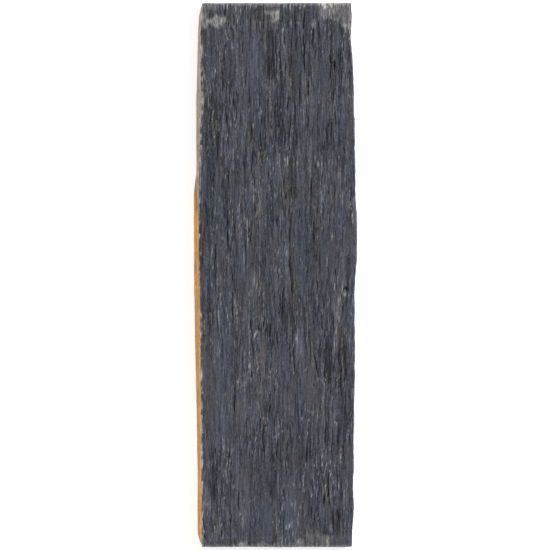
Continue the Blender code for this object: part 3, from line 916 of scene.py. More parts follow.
def within(corners, x, y):
    """Distance of each place from a polygon's outline, above 0 inside it and below 0 outside."""
    nearest = np.full(x.shape, 1.0)
    inside = np.zeros(x.shape, dtype=bool)
    for (start_x, start_y), (stop_x, stop_y) in zip(corners, corners[1:] + corners[:1]):
        run_x, run_y = stop_x - start_x, stop_y - start_y
        share = ((x - start_x) * run_x + (y - start_y) * run_y) / (run_x ** 2 + run_y ** 2)
        share = np.clip(share, 0.0, 1.0)
        nearest = np.minimum(nearest, np.hypot(x - start_x - share * run_x, y - start_y - share * run_y))
        spans = (start_y > y) != (stop_y > y)
        crossing = start_x + (y - start_y) * run_x / (run_y if run_y else 1.0)
        inside ^= spans & (x < crossing)
    return np.where(inside, nearest, -nearest)


def face_dust(x, y):
    """Stone dust on the face: the spalls at the ends and the powdered arrises."""
    wave = 0.6 * grain(x, y, (0.009, 0.012), 81.0) + 0.7 * grain(x, y, (0.0035, 0.0060), 82.0)
    patchy = ramp(grain(x, y, (0.006, 0.013), 83.0) + along(ARRIS_DUST, y), 0.0, 0.45)
    dust = 0.55 * patchy * (1.0 - ramp(x - x[:, :1], 0.0012, 0.0050))
    for strength, soft, corners in DUSTY_PATCHES:
        dust = np.maximum(dust, strength * ramp(within(corners, x, y) + soft * wave, -soft, soft))
    return dust


# ---------------------------------------------------------------- sides, back and ends


def back_sheet(face_x_left, face_x_right):
    """The sheet of the back, from its left edge to its right edge."""
    back = Sheet(BACK_COLUMNS)
    back.x = face_x_left[:, None] + (face_x_right - face_x_left)[:, None] * back.share
    back.z = back_height(back.x, back.y)
    layers = back.z / BACK_LAYER
    back.masks["tone"] = MASK_MIDDLE + 0.5 * grain(back.x, back.y, (0.012, 0.090), 33.0) + 0.08 * (layers % 2)
    back.masks["warmth"] += 0.7 * grain(back.x, back.y, (0.022, 0.100), 34.0)
    # Painted shade where the back lies below its neighbours.
    back.masks["recess_shade"] = np.clip((blurred(back.z, 1, 2) - back.z) / 0.0009, 0.0, 1.0)
    back.masks["powder"] = np.clip((back.z - blurred(back.z, 1, 2)) / 0.0014, 0.0, 0.6)
    return back


def back_height(x, y):
    """Z of the back: 0 on the flat plane, and up in thin layers towards the rim."""
    rim = 0.65 * abs(x / BACK_HALF_WIDTH) ** 4 + 0.35 * abs(y / HALF_LENGTH) ** 8
    cover = grain(x, y, BACK_SIZE, 31.0) + 0.22 * grain(x, y, BACK_RAGGED_SIZE, 37.0)
    level = np.maximum(BACK_LAYERS_PER_UNIT * (cover + rim - BACK_FLAT_LEVEL), 0.0)
    return BACK_LAYER * (np.floor(level) + ramp(level - np.floor(level), 0.86, 1.0))


def left_sheet(face):
    """The sheet of the left side, a natural joint in two facets, from the back up to the arris."""
    side = Sheet(SIDE_CELLS)
    y = side.y
    arris_x, arris_z = face.x[:, :1], face.z[:, :1]
    flank = along(LEFT_FLANK, y)
    back_x = flank + np.minimum(LEFT_UNDERCUT, along(LEFT_ARRIS, y) - flank)
    seam = 0.45 + 0.40 * ramp(y, 0.02, 0.19)
    seam_x = along(LEFT_ARRIS, y) * (1.0 - seam) + flank * seam
    heights = (0.0, LEFT_BULGE_HEIGHT, LEFT_JOINT_HEIGHT, 1.0)
    side.x = bent(side.share, heights, (back_x, flank, seam_x, arris_x + 0.0 * y))
    low = back_height(back_x, y)
    side.z = low + (arris_z - low) * side.share
    rough = 0.00055 * grain(side.z, y, (0.014, 0.060), 101.0)
    rough += 0.00028 * grain(side.z, y, (0.005, 0.013), 102.0)
    side.x -= rough * ramp(side.share, 0.0, 0.12) * ramp(1.0 - side.share, 0.0, 0.12)
    top = bent(y, (0.085, 0.125, 0.160, 0.195), (1.30, 0.85, 0.62, 0.10))
    ragged = top + 0.10 * grain(side.z, y, (0.012, 0.030), 103.0)
    side.masks["rind"] = 1.0 - ramp(side.share, ragged - 0.20, ragged + 0.20)
    line = np.exp(-((side.share - ragged) / 0.12) ** 2) * ramp(y, 0.07, 0.12)
    side.x += 0.0004 * line
    # Painted shade in the shallow channel along the edge of the stain.
    side.masks["recess_shade"] = 0.45 * line
    side.masks["tone"] += 0.6 * grain(side.z, y, (0.012, 0.035), 104.0)
    side.masks["dust"] = ramp(side.share, 0.70, 1.0) * ramp(
        grain(side.z, y, (0.005, 0.012), 105.0) + along(ARRIS_DUST, y), 0.0, 0.5)
    return side


def right_sheet(face):
    """The sheet of the right side, broken across the layers, from the back up to the arris."""
    side = Sheet(SIDE_CELLS)
    y, down = side.y, 1.0 - side.share
    arris_x, arris_z = face.x[:, -1:], face.z[:, -1:]
    flank = along(RIGHT_FLANK, y)
    low = back_height(flank - RIGHT_UNDERCUT, y)
    heights = (0.0, RIGHT_BULGE_HEIGHT, 1.0)
    shape = bent(down, heights, (arris_x + 0.0 * y, flank, flank - RIGHT_UNDERCUT))
    side.z = low + (arris_z - low) * side.share
    covered = ramp(down, 0.0, 0.3) * ramp(side.share, 0.0, 0.15)
    layer = RIGHT_LAYER_STEP * ramp(grain(down, y, (0.21, 0.060), 52.0), -0.3, 0.3)
    fine = 0.0009 * ramp(grain(down, y, (0.10, 0.028), 53.0), -0.2, 0.2) - 0.00045
    fine += 0.0004 * grain(side.z, y, (0.003, 0.008), 54.0)
    side.x = shape + (RIGHT_LAYER_OFFSET - layer - fine) * covered
    sunk = side.x - blurred(side.x, 1, 2)
    # Painted shade where the side lies back from its neighbours.
    side.masks["recess_shade"] = np.clip(-sunk / 0.0009, 0.0, 1.0)
    side.masks["powder"] = np.clip(sunk / 0.0022, 0.0, 0.42)
    side.masks["tone"] += 0.7 * grain(side.z, y, (0.0035, 0.050), 55.0)
    side.masks["warmth"] += 0.8 * grain(side.z, y, (0.0060, 0.080), 56.0)
    return side


def build_sheets(relief):
    """All four long faces of the slab."""
    face = riven_face(relief)
    left, right = left_sheet(face), right_sheet(face)
    back = back_sheet(left.x[:, 0], right.x[:, 0])
    left.z[:, 0], right.z[:, 0] = back.z[:, 0], back.z[:, -1]
    return {"face": face, "left": left, "right": right, "back": back}


# ---------------------------------------------------------------- the blank and its shaping


def edit(slab, mode):
    """Make the slab the only selected object and enter edit mode, with nothing selected."""
    bpy.ops.object.select_all(action="DESELECT")
    slab.select_set(True)
    bpy.context.view_layer.objects.active = slab
    bpy.ops.object.mode_set(mode="EDIT")
    bpy.ops.mesh.select_mode(type=mode)
    bpy.ops.mesh.select_all(action="DESELECT")
    bpy.ops.object.mode_set(mode="OBJECT")


def block_share(points):
    """Places as shares of the block, from 0 at its low corner to 1 at its high one."""
    return (points - np.array(LOW)) / np.array(HIGH - LOW)


def read(items, name, width, kind):
    """A property of a mesh's points, edges, corners or faces, as an array with a row for each."""
    flat = np.empty(width * len(items), dtype=kind)
    items.foreach_get(name, flat)
    return flat.reshape(-1, width)


def places(mesh):
    """The mesh's points as an array."""
    return read(mesh.vertices, "co", 3, np.float32).astype(float)


def edge_ends(mesh):
    """Shares of the block at both ends of each edge, as two arrays."""
    share = block_share(places(mesh))
    first, second = read(mesh.edges, "vertices", 2, np.int32).T
    return share[first], share[second]


def choose_edges(slab, axis, level=None):
    """Select the edges that run along an axis, or only those at a level of (axis, share)."""
    edit(slab, "EDGE")
    first, second = edge_ends(slab.data)
    chosen = abs(first - second)[:, axis] > 1e-5
    if level is not None:
        chosen &= abs(first[:, level[0]] - level[1]) < 1e-4
    slab.data.edges.foreach_set("select", chosen)


def cut_edges(slab, rounds, axis, level=None):
    """Cut the chosen edges evenly, round after round."""
    for cells in rounds:
        choose_edges(slab, axis, level)
        bpy.ops.object.mode_set(mode="EDIT")
        bpy.ops.mesh.subdivide(number_cuts=cells - 1)
        bpy.ops.object.mode_set(mode="OBJECT")


def close_end(slab, share):
    """Fill one sawn end and inset it, for its chipped rim."""
    edit(slab, "EDGE")
    first, second = edge_ends(slab.data)
    rim = (abs(first[:, 1] - share) < 1e-4) & (abs(second[:, 1] - share) < 1e-4)
    slab.data.edges.foreach_set("select", rim)
    bpy.ops.object.mode_set(mode="EDIT")
    bpy.ops.mesh.edge_face_add()
    bpy.ops.mesh.inset(thickness=END_INSET)
    bpy.ops.object.mode_set(mode="OBJECT")


def cut_blank():
    """The block of stone that the slab is shaped from, cut into cells and closed."""
    bpy.ops.object.select_all(action="DESELECT")
    bpy.ops.mesh.primitive_cube_add(size=1.0, location=(LOW + HIGH) / 2, scale=HIGH - LOW)
    slab = bpy.context.object
    slab.name = slab.data.name = "riven_slab"
    bpy.ops.object.transform_apply(location=True, rotation=False, scale=True)
    edit(slab, "FACE")
    slab.data.polygons.foreach_set("select", [abs(face.normal.y) > 0.9 for face in slab.data.polygons])
    bpy.ops.object.mode_set(mode="EDIT")
    bpy.ops.mesh.delete(type="ONLY_FACE")
    bpy.ops.object.mode_set(mode="OBJECT")
    cut_edges(slab, FACE_CUTS, 0, (2, 1.0))
    cut_edges(slab, BACK_CUTS, 0, (2, 0.0))
    cut_edges(slab, SIDE_CUTS, 2)
    cut_edges(slab, ROW_CUTS, 1)
    close_end(slab, 0.0)
    close_end(slab, 1.0)
    return slab


def sides_of(mesh):
    """The side of the block that each face is on, as an index of SIDES."""
    x, y, z = block_share(read(mesh.polygons, "center", 3, np.float32)).T
    side = np.full(len(x), SIDES.index("back"))
    side[z > 0.9999] = SIDES.index("face")
    side[x < 0.0001] = SIDES.index("left")
    side[x > 0.9999] = SIDES.index("right")
    side[(y < 0.0001) | (y > 0.9999)] = SIDES.index("ends")
    return side


def lay_finishes(slab):
    """Give each face of the blank its material slot, by the side that it is on."""
    slots = np.array([SIDE_FINISH[name] for name in SIDES])
    slab.data.polygons.foreach_set("material_index", slots[sides_of(slab.data)])


def lay_map(slab):
    """Lay the map of the four long faces and the ends side by side, by their places on the blank."""
    mesh = slab.data
    corners = read(mesh.loops, "vertex_index", 1, np.int32)[:, 0]
    side = np.repeat(sides_of(mesh), read(mesh.polygons, "loop_total", 1, np.int32)[:, 0])
    x, y, z = block_share(places(mesh))[corners].T
    across = np.where((side == SIDES.index("face")) | (side == SIDES.index("back")), x, z)
    starts, stops = np.array([MAP_STRIPS[name] for name in SIDES]).T
    map_u = starts[side] + (stops - starts)[side] * across
    end_v = np.where(y < 0.5, *MAP_END_STARTS) + MAP_END_LENGTH * x
    map_v = np.where(side == SIDES.index("ends"), end_v, 0.01 + 0.98 * y)
    layer = mesh.uv_layers.new(name="OFBake")
    layer.data.foreach_set("uv", np.stack([map_u, map_v], axis=1).ravel())


def shape_blank(slab, sheets):
    """Move the blank's points onto the sheets, and keep the sheets' masks on the mesh."""
    mesh = slab.data
    share = np.clip(block_share(places(mesh)), 0.0, 1.0)
    u, v, w = share.T
    row = np.rint(v * ROWS).astype(int)
    place = np.zeros_like(share)
    masks = fresh_masks(len(share))
    for end_row in (0, ROWS):
        chosen = row == end_row
        place[chosen] = end_places(sheets, u[chosen], w[chosen], end_row)
    surfaces = (
        ("back", w < 1e-4, u, BACK_COLUMNS),
        ("left", u < 1e-4, w, SIDE_CELLS),
        ("right", u > 1.0 - 1e-4, w, SIDE_CELLS),
        ("face", w > 1.0 - 1e-4, u, FACE_COLUMNS),
    )
    for name, chosen, across, cells in surfaces:
        sheet = sheets[name]
        spot = row[chosen], np.rint(across[chosen] * cells).astype(int)
        place[chosen] = np.stack([sheet.x[spot], sheet.y[spot], sheet.z[spot]], axis=1)
        for mask in MASKS:
            masks[mask][chosen] = sheet.masks[mask][spot]
    ends = (row == 0) | (row == ROWS)
    rim = ends & ((w < 1e-4) | (u < 1e-4) | (u > 1.0 - 1e-4) | (w > 1.0 - 1e-4))
    masks["dust"][ends & ~rim] = END_DUST
    chip = end_chip(place[rim, 0], place[rim, 2])
    place[rim, 1] -= np.sign(place[rim, 1]) * chip
    masks["dust"][rim] = np.maximum(masks["dust"][rim], RIM_DUST)
    mesh.vertices.foreach_set("co", place.astype(np.float32).ravel())
    for name, values in masks.items():
        layer = mesh.attributes.new(name, "FLOAT", "POINT")
        layer.data.foreach_set("value", np.clip(values, 0.0, 1.0).astype(np.float32))
    mesh.update()


def end_places(sheets, u, w, row):
    """Places on a sawn end, between the ends of the four long faces."""
    steps = {name: np.linspace(0, 1, sheet.x.shape[1]) for name, sheet in sheets.items()}
    left_x = np.interp(w, steps["left"], sheets["left"].x[row])
    right_x = np.interp(w, steps["right"], sheets["right"].x[row])
    low_z = np.interp(u, steps["back"], sheets["back"].z[row])
    high_z = np.interp(u, steps["face"], sheets["face"].z[row])
    y = np.full_like(u, HALF_LENGTH if row else -HALF_LENGTH)
    return np.stack([left_x + (right_x - left_x) * u, y, low_z + (high_z - low_z) * w], axis=1)


# ---------------------------------------------------------------- nodes

def feed(tree, node, inputs):
    """Give a node's inputs their values or links, and return the X right of all that feeds it."""
    column = 0.0
    for name, value in inputs.items():
        if isinstance(value, bpy.types.NodeSocket):
            tree.links.new(value, node.inputs[name])
            column = max(column, value.node.location.x + NODE_COLUMN)
        else:
            node.inputs[name].default_value = value
    return column


def put(tree, kind, inputs=None, **settings):
    """Add a node right of those that feed it, set it up, and give its inputs values or links."""
    node = tree.nodes.new(kind)
    for name, value in settings.items():
        setattr(node, name, value)
    column = feed(tree, node, inputs or {})
    taken = [other.location.y for other in tree.nodes if other.location.x == column and other != node]
    node.location = (column, min(taken, default=NODE_ROW) - NODE_ROW)
    return node


def sums(tree, operation, first, second=0.0, third=0.0, clamp=False):
    """Output of a Math node."""
    node = put(tree, "ShaderNodeMath", {0: first, 1: second, 2: third}, operation=operation, use_clamp=clamp)
    return node.outputs[0]


def vectors(tree, operation, first, second):
    """Output of a Vector Math node."""
    return put(tree, "ShaderNodeVectorMath", {0: first, 1: second}, operation=operation).outputs[0]


def blend(tree, share, first, second, kind="MIX"):
    """Output of a colour Mix node."""
    inputs = {0: share, 6: first, 7: second}
    return put(tree, "ShaderNodeMix", inputs, data_type="RGBA", blend_type=kind).outputs[2]


def off_middle(tree, value):
    """How far a value from 0 to 1 is above its middle."""
    return sums(tree, "SUBTRACT", value, MASK_MIDDLE)


def swing(tree, value, weight, base):
    """The base, raised and lowered as a value from 0 to 1 swings round its middle."""
    return sums(tree, "MULTIPLY_ADD", off_middle(tree, value), weight, base)


def weighed(tree, *terms):
    """The sum of values, each times its weight."""
    total = 0.0
    for value, weight in terms:
        total = sums(tree, "MULTIPLY_ADD", value, weight, total)
    return total


def slab_places(tree):
    """Places on the slab, in metres."""
    return put(tree, "ShaderNodeTexCoord").outputs["Object"]


def cloudy(tree, vector, scale, detail, roughness=0.5):
    """Output of a Noise node."""
    node = put(tree, "ShaderNodeTexNoise",
               {"Vector": vector, "Scale": scale, "Detail": detail, "Roughness": roughness})
    return node.outputs["Fac"]


def step(tree, value, low, high):
    """Smooth step from 0 at low to 1 at high."""
    node = put(tree, "ShaderNodeMapRange", {"Value": value, "From Min": low, "From Max": high},
               interpolation_type="SMOOTHSTEP")
    return node.outputs["Result"]


def mask(tree, name):
    """A finish mask of the mesh."""
    return put(tree, "ShaderNodeAttribute", attribute_name=name).outputs["Fac"]


def solid(colour):
    """An RGBA value of a colour property."""
    return (*colour, 1.0)


def new_group(name, inputs, outputs):
    """A new shader node group with named sockets: its tree and its input sockets."""
    tree = bpy.data.node_groups.new(name, "ShaderNodeTree")
    for title, kind, default in inputs:
        socket = tree.interface.new_socket(title, in_out="INPUT", socket_type=kind)
        socket.default_value = default
    for title, kind in outputs:
        tree.interface.new_socket(title, in_out="OUTPUT", socket_type=kind)
    source = put(tree, "NodeGroupInput")
    return tree, source.outputs


def give(tree, **results):
    """Join the group's results to its output node."""
    named = {name.replace("_", " "): value for name, value in results.items()}
    put(tree, "NodeGroupOutput", named)


def place_group(tree, group, inputs):
    """Place a group in a material and give its outputs."""
    return put(tree, "ShaderNodeGroup", inputs, node_tree=group).outputs


def cleavage_grain():
    """Group: fibres, slivers and the seams between them, stretched along the slab."""
    tree, given = new_group(
        "Cleavage Grain",
        [("Width", "NodeSocketFloat", 0.002), ("Length", "NodeSocketFloat", 0.03),
         ("Layer", "NodeSocketFloat", 0.002), ("Wander", "NodeSocketFloat", 0.004)],
        [("Fibre", "NodeSocketFloat"), ("Sliver", "NodeSocketFloat"), ("Seam", "NodeSocketFloat"),
         ("Grit", "NodeSocketFloat")],
    )
    spot = slab_places(tree)
    bend = cloudy(tree, vectors(tree, "MULTIPLY", spot, (9.0, 3.5, 9.0)), 1.0, 2.0)
    stray = sums(tree, "MULTIPLY", off_middle(tree, bend), given["Wander"])
    shift = put(tree, "ShaderNodeCombineXYZ", {"X": stray}).outputs[0]
    cell = put(tree, "ShaderNodeCombineXYZ", {"X": given["Width"], "Y": given["Length"], "Z": given["Layer"]})
    stretched = vectors(tree, "DIVIDE", vectors(tree, "ADD", spot, shift), cell.outputs[0])
    fibre = cloudy(tree, stretched, 1.0, 3.0, 0.62)
    broad = vectors(tree, "MULTIPLY", stretched, (0.42, 0.55, 0.42))
    flow = put(tree, "ShaderNodeTexNoise", {"Vector": broad, "Scale": 1.3, "Detail": 1.0}).outputs["Color"]
    warped = put(tree, "ShaderNodeVectorMath", {0: flow, 1: (0.8, 0.8, 0.8), 2: broad},
                 operation="MULTIPLY_ADD").outputs[0]
    cells = put(tree, "ShaderNodeTexVoronoi", {"Vector": warped, "Scale": 1.0})
    rims = put(tree, "ShaderNodeTexVoronoi", {"Vector": warped, "Scale": 1.0}, feature="DISTANCE_TO_EDGE")
    shade = put(tree, "ShaderNodeSeparateColor", {"Color": cells.outputs["Color"]}).outputs[0]
    seam = sums(tree, "SUBTRACT", 1.0, step(tree, rims.outputs["Distance"], 0.0, 0.16))
    grit = cloudy(tree, vectors(tree, "MULTIPLY", spot, (1.0, 0.42, 1.0)), 620.0, 2.0, 0.6)
    give(tree, Fibre=fibre, Sliver=shade, Seam=seam, Grit=grit)
    return tree


def stone_dust():
    """Group: pale crushed stone that catches on the grain."""
    tree, given = new_group(
        "Stone Dust",
        [("Color", "NodeSocketColor", (0.1, 0.1, 0.1, 1.0)),
         ("Dust Color", "NodeSocketColor", (0.5, 0.5, 0.5, 1.0)),
         ("Amount", "NodeSocketFloat", 0.0), ("Grain", "NodeSocketFloat", 0.5),
         ("Speckle", "NodeSocketFloat", 0.004)],
        [("Color", "NodeSocketColor"), ("Mask", "NodeSocketFloat")],
    )
    drawn = vectors(tree, "MULTIPLY", slab_places(tree), (1.0, 0.40, 1.0))
    speckle = cloudy(tree, drawn, sums(tree, "DIVIDE", 1.0, given["Speckle"]), 3.0, 0.7)
    caught = sums(tree, "MULTIPLY_ADD", given["Grain"], 0.8, speckle)
    spread = sums(tree, "MULTIPLY_ADD", caught, 4.2, -2.8)
    share = sums(tree, "MULTIPLY", given["Amount"], sums(tree, "MAXIMUM", spread, 0.0), clamp=True)
    give(tree, Color=blend(tree, share, given["Color"], given["Dust Color"]), Mask=share)
    return tree


def iron_stain():
    """Group: iron stain over the stone, paler and rustier in clouds, streaks and specks."""
    tree, given = new_group(
        "Iron Stain",
        [("Color", "NodeSocketColor", (0.1, 0.1, 0.1, 1.0)),
         ("Stain Color", "NodeSocketColor", (0.5, 0.3, 0.1, 1.0)),
         ("Rust Color", "NodeSocketColor", (0.3, 0.1, 0.05, 1.0)),
         ("Pale Color", "NodeSocketColor", (0.6, 0.5, 0.3, 1.0)), ("Amount", "NodeSocketFloat", 0.0)],
        [("Color", "NodeSocketColor"), ("Mask", "NodeSocketFloat")],
    )
    spot = slab_places(tree)
    drawn = vectors(tree, "MULTIPLY", spot, (95.0, 48.0, 95.0))
    clouds = cloudy(tree, drawn, 1.0, 6.0, 0.68)
    faded = put(tree, "ShaderNodeTexNoise",
                {"Vector": drawn, "Scale": 0.6, "Detail": 5.0, "Roughness": 0.70, "W": 3.0},
                noise_dimensions="4D").outputs["Fac"]
    specks = cloudy(tree, drawn, 9.0, 2.0, 0.6)
    layers = cloudy(tree, vectors(tree, "MULTIPLY", spot, (60.0, 22.0, 520.0)), 1.0, 3.0, 0.6)
    pale = sums(tree, "MULTIPLY", step(tree, faded, 0.50, 0.66), 0.45)
    stain = blend(tree, pale, given["Stain Color"], given["Pale Color"])
    rusty = sums(tree, "MULTIPLY", step(tree, clouds, 0.50, 0.70), 0.60)
    rusty = sums(tree, "MAXIMUM", rusty, sums(tree, "MULTIPLY", step(tree, specks, 0.60, 0.70), 0.55))
    rusty = sums(tree, "MAXIMUM", rusty, sums(tree, "MULTIPLY", step(tree, layers, 0.56, 0.70), 0.30))
    stain = blend(tree, rusty, stain, given["Rust Color"])
    edge = sums(tree, "MULTIPLY", off_middle(tree, clouds), 1.1)
    share = step(tree, sums(tree, "ADD", given["Amount"], edge), 0.42, 0.58)
    share = sums(tree, "MULTIPLY", share, step(tree, given["Amount"], 0.02, 0.10))
    give(tree, Color=blend(tree, share, given["Color"], stain), Mask=share)
    return tree


def lay_stain(tree, finish, groups, colour):
    """Colour with the iron stain over it, where the mesh's stain mask has it."""
    return place_group(tree, groups["stain"], {
        "Color": colour, "Stain Color": solid(finish.ochre), "Rust Color": solid(finish.rust),
        "Pale Color": solid(finish.tan), "Amount": mask(tree, "rind"),
    })["Color"]


def finish_material(name, roughness, specular):
    """A material with only its Principled shader: its tree and that shader."""
    material = bpy.data.materials.new(name)
    material.use_nodes = True
    shader = material.node_tree.nodes["Principled BSDF"]
    shader.inputs["Roughness"].default_value = roughness
    shader.inputs["Specular IOR Level"].default_value = specular
    shader.location = (3200.0, 200.0)
    material.node_tree.nodes["Material Output"].location = (3500.0, 200.0)
    return material, material.node_tree, shader


def slate_colour(tree, finish, grains, tone, contrast):
    """Colour of bare slate: blue and brown slivers, darker with painted shade in the seams and the grooves.
    """
    base = blend(tree, mask(tree, "warmth"), solid(finish.blue), solid(finish.brown))
    fine = sums(tree, "MULTIPLY", off_middle(tree, grains["Fibre"]), LIGHT_OF["fibre"] * contrast)
    fine = swing(tree, grains["Sliver"], LIGHT_OF["sliver"] * contrast, fine)
    bold = sums(tree, "MULTIPLY_ADD", mask(tree, "lively"), 1.8, 0.1)
    light = swing(tree, tone, LIGHT_OF["tone"] * contrast, MEAN_LIGHT)
    light = sums(tree, "MULTIPLY_ADD", fine, bold, light)
    light = swing(tree, grains["Grit"], LIGHT_OF["grit"] * contrast, light)
    # Painted shade in the seams between the slivers.
    light = sums(tree, "MULTIPLY_ADD", grains["Seam"], LIGHT_OF["seam"] * contrast, light)
    # Painted shade in the recesses, from the recess mask.
    sunk = sums(tree, "MULTIPLY_ADD", sums(tree, "POWER", mask(tree, "recess_shade"), 1.5), -0.92, 1.08)
    light = sums(tree, "MULTIPLY", light, sums(tree, "MULTIPLY_ADD", mask(tree, "powder"), 1.15, 1.0))
    light = sums(tree, "MAXIMUM", sums(tree, "MULTIPLY", light, sunk), 0.04)
    # A painted bluish tint of shade, stronger where the slate is painted darker.
    cool = {channel: sums(tree, "POWER", light, power) for channel, power in BLUISH_SHADE_TINT.items()}
    shade = put(tree, "ShaderNodeCombineColor", cool).outputs[0]
    worn = sums(tree, "MULTIPLY", mask(tree, "powder"), WORN_SHARE)
    return blend(tree, worn, blend(tree, 1.0, base, shade, "MULTIPLY"), solid(finish.powder))


def lay_dust(tree, finish, groups, colour, grains):
    """Stone dust over a colour, where the mesh's dust mask has it."""
    return place_group(tree, groups["dust"], {
        "Color": colour, "Dust Color": solid(finish.powder), "Amount": mask(tree, "dust"),
        "Grain": grains["Fibre"],
    })


def wear(tree, shader, colour, height, depth):
    """Give a shader its colour and a fine relief of the given depth."""
    tree.links.new(colour, shader.inputs["Base Color"])
    bump = put(tree, "ShaderNodeBump", {"Height": height, "Distance": depth, "Strength": 1.0})
    tree.links.new(bump.outputs["Normal"], shader.inputs["Normal"])


def riven_material(finish, groups):
    """Fresh riven slate: the face and the back."""
    material, tree, shader = finish_material("riven_slate", finish.roughness, 0.25)
    fine = place_group(tree, groups["grain"], GRAIN_CELLS["riven"])
    tone = mask(tree, "tone")
    colour = slate_colour(tree, finish, fine, tone, 1.0)
    dusty = lay_dust(tree, finish, groups, colour, fine)
    crushed = step(tree, mask(tree, "powder"), 0.50, 1.12)
    colour = blend(tree, crushed, dusty["Color"], solid(finish.powder))
    rough = sums(tree, "MULTIPLY_ADD", tone, -0.22, finish.roughness + 0.12)
    rough = sums(tree, "MULTIPLY_ADD", dusty["Mask"], 0.30, rough, clamp=True)
    tree.links.new(rough, shader.inputs["Roughness"])
    height = weighed(tree, (fine["Fibre"], 1.2), (fine["Seam"], -0.5), (fine["Grit"], 0.6))
    wear(tree, shader, lay_stain(tree, finish, groups, colour), height, BUMP_DEPTHS["riven"])
    return material


def broken_material(finish, groups):
    """Slate broken across its layers: the right side."""
    material, tree, shader = finish_material("broken_slate", finish.roughness + 0.12, 0.30)
    fine = place_group(tree, groups["grain"], GRAIN_CELLS["broken"])
    layers = sums(tree, "MULTIPLY", off_middle(tree, fine["Sliver"]), 0.9)
    colour = slate_colour(tree, finish, fine, sums(tree, "ADD", mask(tree, "tone"), layers), 1.0)
    crushed = sums(tree, "MULTIPLY", mask(tree, "powder"), step(tree, fine["Fibre"], 0.42, 0.60), clamp=True)
    dusty = lay_dust(tree, finish, groups, blend(tree, crushed, colour, solid(finish.powder)), fine)
    height = weighed(tree, (fine["Fibre"], 1.3), (fine["Seam"], -0.8), (layers, 1.0), (fine["Grit"], 0.5))
    wear(tree, shader, dusty["Color"], height, BUMP_DEPTHS["broken"])
    return material


def stained_material(finish, groups):
    """The natural joint on the left side: a weathered tan rind, and ochre where iron stained it."""
    material, tree, shader = finish_material("stained_joint", 0.85, 0.20)
    fine = place_group(tree, groups["grain"], GRAIN_CELLS["stained"])
    light = swing(tree, fine["Fibre"], 0.95, 1.0)
    light = swing(tree, fine["Grit"], 0.9, light)
    light = swing(tree, mask(tree, "tone"), 0.40, light)
    # Painted shade in the seams and, on the next line, in the recesses of the joint side.
    light = sums(tree, "MULTIPLY_ADD", fine["Seam"], -0.12, light)
    light = sums(tree, "MULTIPLY", light, sums(tree, "MULTIPLY_ADD", mask(tree, "recess_shade"), -0.85, 1.0))
    shade = put(tree, "ShaderNodeCombineColor", {"Red": light, "Green": light, "Blue": light}).outputs[0]
    stained = lay_stain(tree, finish, groups, solid(finish.tan))
    colour = blend(tree, 1.0, stained, shade, "MULTIPLY")
    dusty = lay_dust(tree, finish, groups, colour, fine)
    height = weighed(tree, (fine["Fibre"], 1.4), (fine["Grit"], 0.8))
    wear(tree, shader, dusty["Color"], height, BUMP_DEPTHS["stained"])
    return material


def sawn_material(finish, groups):
    """The sawn ends: dull grey, with the saw's shallow arcs and a dusty rim."""
    material, tree, shader = finish_material("sawn_slate", finish.roughness + 0.18, 0.25)
    fine = place_group(tree, groups["grain"], GRAIN_CELLS["sawn"])
    turned = put(tree, "ShaderNodeMapping", {"Vector": slab_places(tree), "Location": SAW_CENTRE})
    arcs = put(tree, "ShaderNodeTexWave",
               {"Vector": turned.outputs[0], "Scale": 95.0, "Distortion": 1.2, "Detail": 2.0,
                "Detail Scale": 30.0}, wave_type="RINGS", rings_direction="Y")
    colour = slate_colour(tree, finish, fine, mask(tree, "tone"), 0.42)
    faint = sums(tree, "MULTIPLY_ADD", arcs.outputs["Fac"], 0.05, 0.07)
    colour = blend(tree, faint, colour, solid(finish.powder))
    dusty = lay_dust(tree, finish, groups, colour, fine)
    height = weighed(tree, (fine["Fibre"], 0.6), (arcs.outputs["Fac"], 0.7))
    wear(tree, shader, dusty["Color"], height, BUMP_DEPTHS["sawn"])
    return material


def floor_material(studio):
    """Plain pale floor."""
    material, _, shader = finish_material("studio_floor", 0.9, 0.1)
    shader.inputs["Base Color"].default_value = solid(studio.floor_colour)
    shader.inputs["Emission Color"].default_value = solid(studio.floor_colour)
    shader.inputs["Emission Strength"].default_value = studio.floor_glow
    return material


# ---------------------------------------------------------------- operators


class MESH_OT_riven_slate_slab(bpy.types.Operator):
    """Cut a block of slate, rive its face, and give each side its finish"""

    bl_idname = "mesh.riven_slate_slab"
    bl_label = "Riven Slate Slab"

    def execute(self, context):
        scene = context.scene
        slab = cut_blank()
        lay_finishes(slab)
        lay_map(slab)
        shape_blank(slab, build_sheets(scene.slate_relief))
        groups = {"grain": cleavage_grain(), "dust": stone_dust(), "stain": iron_stain()}
        for make in (riven_material, broken_material, stained_material, sawn_material):
            slab.data.materials.append(make(scene.slate_finish, groups))
        bpy.ops.object.shade_smooth_by_angle(angle=math.radians(SMOOTH_ANGLE))
        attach(slab, BODY)
        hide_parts(NODE)
        return {"FINISHED"}


class SCENE_OT_slate_studio(bpy.types.Operator):
    """Lay the pale floor, hang the soft lights and set the camera over the slab"""

    bl_idname = "scene.slate_studio"
    bl_label = "Slate Studio"

    def execute(self, context):
        scene = context.scene
        studio = scene.slate_studio
        bpy.ops.object.select_all(action="DESELECT")
        bpy.ops.mesh.primitive_plane_add(size=studio.floor_size, location=(0.0, 0.0, LOW.z))
        floor = context.object
        floor.name = "studio_floor"
        bpy.ops.object.transform_apply(location=True, rotation=False, scale=True)
        floor.data.materials.append(floor_material(studio))
        hang_lights(scene, studio)
        set_camera(scene, studio)
        scene.view_settings.view_transform = "Standard"
        return {"FINISHED"}


